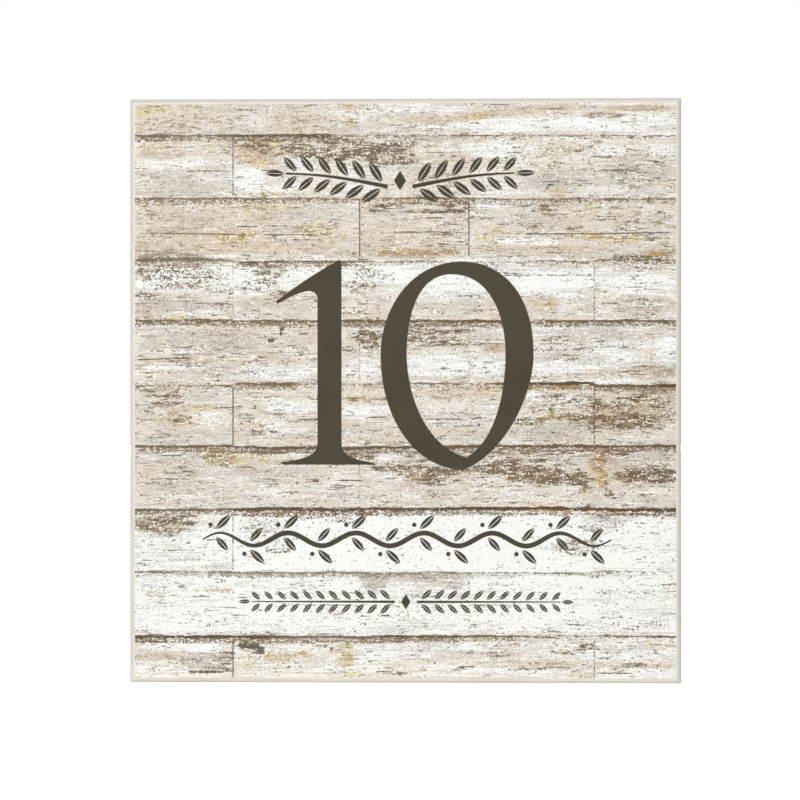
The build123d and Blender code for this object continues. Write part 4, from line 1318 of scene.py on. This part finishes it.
def vine(name, centre, half_length, wave, swing, width, lengths):
    """A wavy stem with leaves inside and outside its bends."""
    def place(x):
        return centre[0] + x, centre[1] + swing * math.sin(2 * math.pi * x / wave)

    steps = round(2 * half_length / wave * STEPS_PER_WAVE)
    path = []
    widths = []
    for step in range(steps + 1):
        path.append(place(half_length * (2 * step / steps - 1)))
        from_tip = min(step, steps - step) / steps
        widths.append(width * min(1, VINE_TIP + VINE_SWELL * from_tip))
    shapes = [stroke(path, widths)]
    clear = width / 2 + LEAF_GAP
    for bend in range(round(4 * half_length / wave)):
        x, z = place(-half_length + wave / 4 + bend * wave / 2)
        up = 1 if z > centre[1] else -1
        leaf_x = x - wave * LEAVES_BACK
        inner_z = z - up * (clear + INNER_LEAF_GAP)
        shapes.append(leaf_at(leaf_x, z + up * clear, up * OUTER_LEAF_ANGLE, lengths[0]))
        shapes.append(leaf_at(leaf_x, inner_z, -up * INNER_LEAF_ANGLE, lengths[1]))
        shapes.append(berry(x - wave * BERRY_BACK, z + up * BERRY_RISE, BERRY_RADIUS))
    ornament(name, shapes)


print("vine of", STEPS_PER_WAVE, "steps a wave")

# %% [markdown]
# Spray, vine and garland
# The spray over the number rises from a lozenge to both sides. The vine runs under the number, and the
# garland below it is a smaller, straight pair of branches. Each is given by its centre, its reach and the
# sizes of its stem and leaves, in millimetres.

# %% Ornaments
spray(
    "top_spray",
    centre=(-1.75, 76.2),
    reach=(4.5, 41.5),
    rise=(-2.2, 2.6),
    width=1.5,
    leaves=6,
    lengths=(9.0, 7.0),
    spread=math.radians(46),
    diamond=(2.2, 3.6),
)
vine(
    "middle_vine",
    centre=(0.75, -53.9),
    half_length=74.0,
    wave=24.67,
    swing=2.4,
    width=1.8,
    lengths=(7.4, 6.8),
)
spray(
    "low_garland",
    centre=(0.35, -76.5),
    reach=(4.0, 56.0),
    rise=(0.0, 0.0),
    width=0.9,
    leaves=11,
    lengths=(5.2, 4.4),
    spread=math.radians(44),
    diamond=(1.7, 2.8),
)
bpy.data.objects.remove(leaf_model)

# %% [markdown]
# The tile body
# The border, the rounded edges and the sides are cream glaze. The glaze stops short of the back,
# where the fired clay stays bare, dull and slightly gritty. One material does both: it reads how far
# a point lies from the back and changes along a wavering line.

# %% Tile finish
GLAZE = shade(232, 226, 214)
GLAZE_DEEP = shade(226, 218, 204)
CLAY = shade(222, 210, 190)
CLAY_DARK = shade(205, 190, 166)
GLAZE_LINE = -1.3
GLAZE_LINE_BLUR = 0.08
GLAZE_ROUGHNESS = 0.32
CLAY_ROUGHNESS = 0.87
GRIT_DEPTH = 0.012


def tile_finish():
    """Cream glaze that ends near the back, and bare clay behind it."""
    bench = FinishBench("cream_glaze")
    pooling = bench.noise(long=22.0, high=22.0, seed=4.0, detail=3)
    specks = bench.noise(long=0.8, high=0.8, seed=8.0)
    waver = bench.noise(long=9.0, high=9.0, seed=11.0, detail=2)
    glaze = bench.mix(bench.level(pooling, -1.5, 2.5), GLAZE, GLAZE_DEEP)
    gritty = bench.add((specks, 0.8), (pooling, 0.6))
    clay = bench.mix(bench.level(gritty, -1.0, 2.5), CLAY, CLAY_DARK)
    depth = bench.add((bench.y, 1.0), (waver, 0.1))
    bare = bench.level(depth, GLAZE_LINE - GLAZE_LINE_BLUR, GLAZE_LINE + GLAZE_LINE_BLUR)
    bench.colour(bench.mix(bare, glaze, clay))
    roughness = bench.calc("MULTIPLY_ADD", bare, CLAY_ROUGHNESS - GLAZE_ROUGHNESS, GLAZE_ROUGHNESS)
    bench.tree.links.new(roughness, bench.surface.inputs["Roughness"])
    grit = bench.calc("MULTIPLY", bare, specks)
    bench.relief(grit, GRIT_DEPTH)
    bench.set(Specular_IOR_Level=0.25)
    return bench.material


finish(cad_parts["plaque"], tile_finish())
print("glaze on the tile")

# %% [markdown]
# Backdrop and floor
# The tile stands upright on a white floor before a white backdrop. White could come from strong light,
# but that would bleach the tile as well. So only the rays that look at the backdrop or the floor find
# them white, and the light that they shed on the tile stays dim.

# %% Backdrop and floor
WORLD_LIGHT = 0.32
FLOOR_SIZE = 12.0
FLOOR_GLOW = 0.75
FLOOR_PALE = shade(235, 234, 232)
WHITE = (1, 1, 1, 1)


def seen_directly(tree):
    """1 for rays from the camera, from a gloss or through glass, and 0 for the rays that light things."""
    rays = tree.nodes.new("ShaderNodeLightPath")
    total = rays.outputs["Is Camera Ray"]
    for name in ("Is Glossy Ray", "Is Transmission Ray"):
        joined = tree.nodes.new("ShaderNodeMath")
        joined.operation = "MAXIMUM"
        tree.links.new(total, joined.inputs[0])
        tree.links.new(rays.outputs[name], joined.inputs[1])
        total = joined.outputs[0]
    return total


def studio_world():
    """A white backdrop to look at, and a dimmer even light from all sides."""
    world = bpy.data.worlds.new("studio")
    world.use_nodes = True
    bpy.context.scene.world = world
    strength = world.node_tree.nodes.new("ShaderNodeMapRange")
    strength.inputs["To Min"].default_value = WORLD_LIGHT
    strength.inputs["To Max"].default_value = 1.0
    world.node_tree.links.new(seen_directly(world.node_tree), strength.inputs["Value"])
    background = world.node_tree.nodes["Background"]
    background.inputs["Color"].default_value = WHITE
    world.node_tree.links.new(strength.outputs[0], background.inputs["Strength"])


def studio_floor():
    """A pale floor under the tile that reads white and still takes its shadow."""
    select_only()
    bpy.ops.mesh.primitive_plane_add(size=FLOOR_SIZE, location=(0, 0, CAD_BOX[0][2]))
    floor = bpy.context.object
    floor.name = "floor"
    bench = FinishBench("pale_floor")
    bench.set(Base_Color=FLOOR_PALE, Roughness=0.9, Specular_IOR_Level=0.0, Emission_Color=WHITE)
    glow = bench.calc("MULTIPLY", seen_directly(bench.tree), FLOOR_GLOW)
    bench.tree.links.new(glow, bench.surface.inputs["Emission Strength"])
    finish(floor, bench.material)


studio_world()
studio_floor()
print("backdrop and floor set")

# %% [markdown]
# Lamps
# One broad soft lamp stands in front, a little to the left, so that the right edge falls off darker than
# the left one. A weaker lamp behind shows the back.

# %% Lamps
KEY_POWER = 183.0
KEY_PLACE = (-1.2, -5.2, 0.8)
BACK_POWER = 60.0
BACK_PLACE = (0.0, 5.2, 0.3)
LAMP_SIZE = 1.8


def soft_lamp(name, place, power):
    """One broad soft lamp, aimed at the tile."""
    bpy.ops.object.light_add(type="AREA", location=place)
    lamp = bpy.context.object
    lamp.name = name
    lamp.data.energy = power
    lamp.data.size = LAMP_SIZE
    lamp.rotation_euler = (-lamp.location).to_track_quat("-Z", "Y").to_euler()


soft_lamp("key_lamp", KEY_PLACE, KEY_POWER)
soft_lamp("back_lamp", BACK_PLACE, BACK_POWER)
bpy.context.scene.view_settings.view_transform = "Standard"
print("lamps of", KEY_POWER, "and", BACK_POWER, "watts")

# %% [markdown]
# The camera
# A long lens from a metre away keeps the tile's edges almost parallel, as in a catalogue picture. It
# stands slightly to the right and is turned back to the tile. The tile's middle does not sit quite in
# the middle of the picture, so the camera is also set a little lower and to the left, by as much as the
# picture's own scale gives.

# %% Camera
PICTURE_SIDE = 800
TILE_MIDDLE_PX = (404.85, 390.75)
PX_PER_MM = 2.7597
CAMERA_DISTANCE = 1.0
CAMERA_TO_RIGHT = 0.027
SENSOR = 36.0

front = float(CAD_BOX[0][1])
aside = (TILE_MIDDLE_PX[0] - PICTURE_SIDE / 2) / PX_PER_MM * MM
lower = (TILE_MIDDLE_PX[1] - PICTURE_SIDE / 2) / PX_PER_MM * MM
bpy.ops.object.camera_add(location=(CAMERA_TO_RIGHT - aside, front - CAMERA_DISTANCE, lower))
camera = bpy.context.object
camera.rotation_euler = (math.radians(90), 0, math.atan2(CAMERA_TO_RIGHT, CAMERA_DISTANCE))
camera.data.sensor_width = SENSOR
camera.data.lens = PX_PER_MM / MM * CAMERA_DISTANCE * SENSOR / PICTURE_SIDE
bpy.context.scene.camera = camera
print("lens", round(camera.data.lens, 1), "mm")

# %% [markdown]
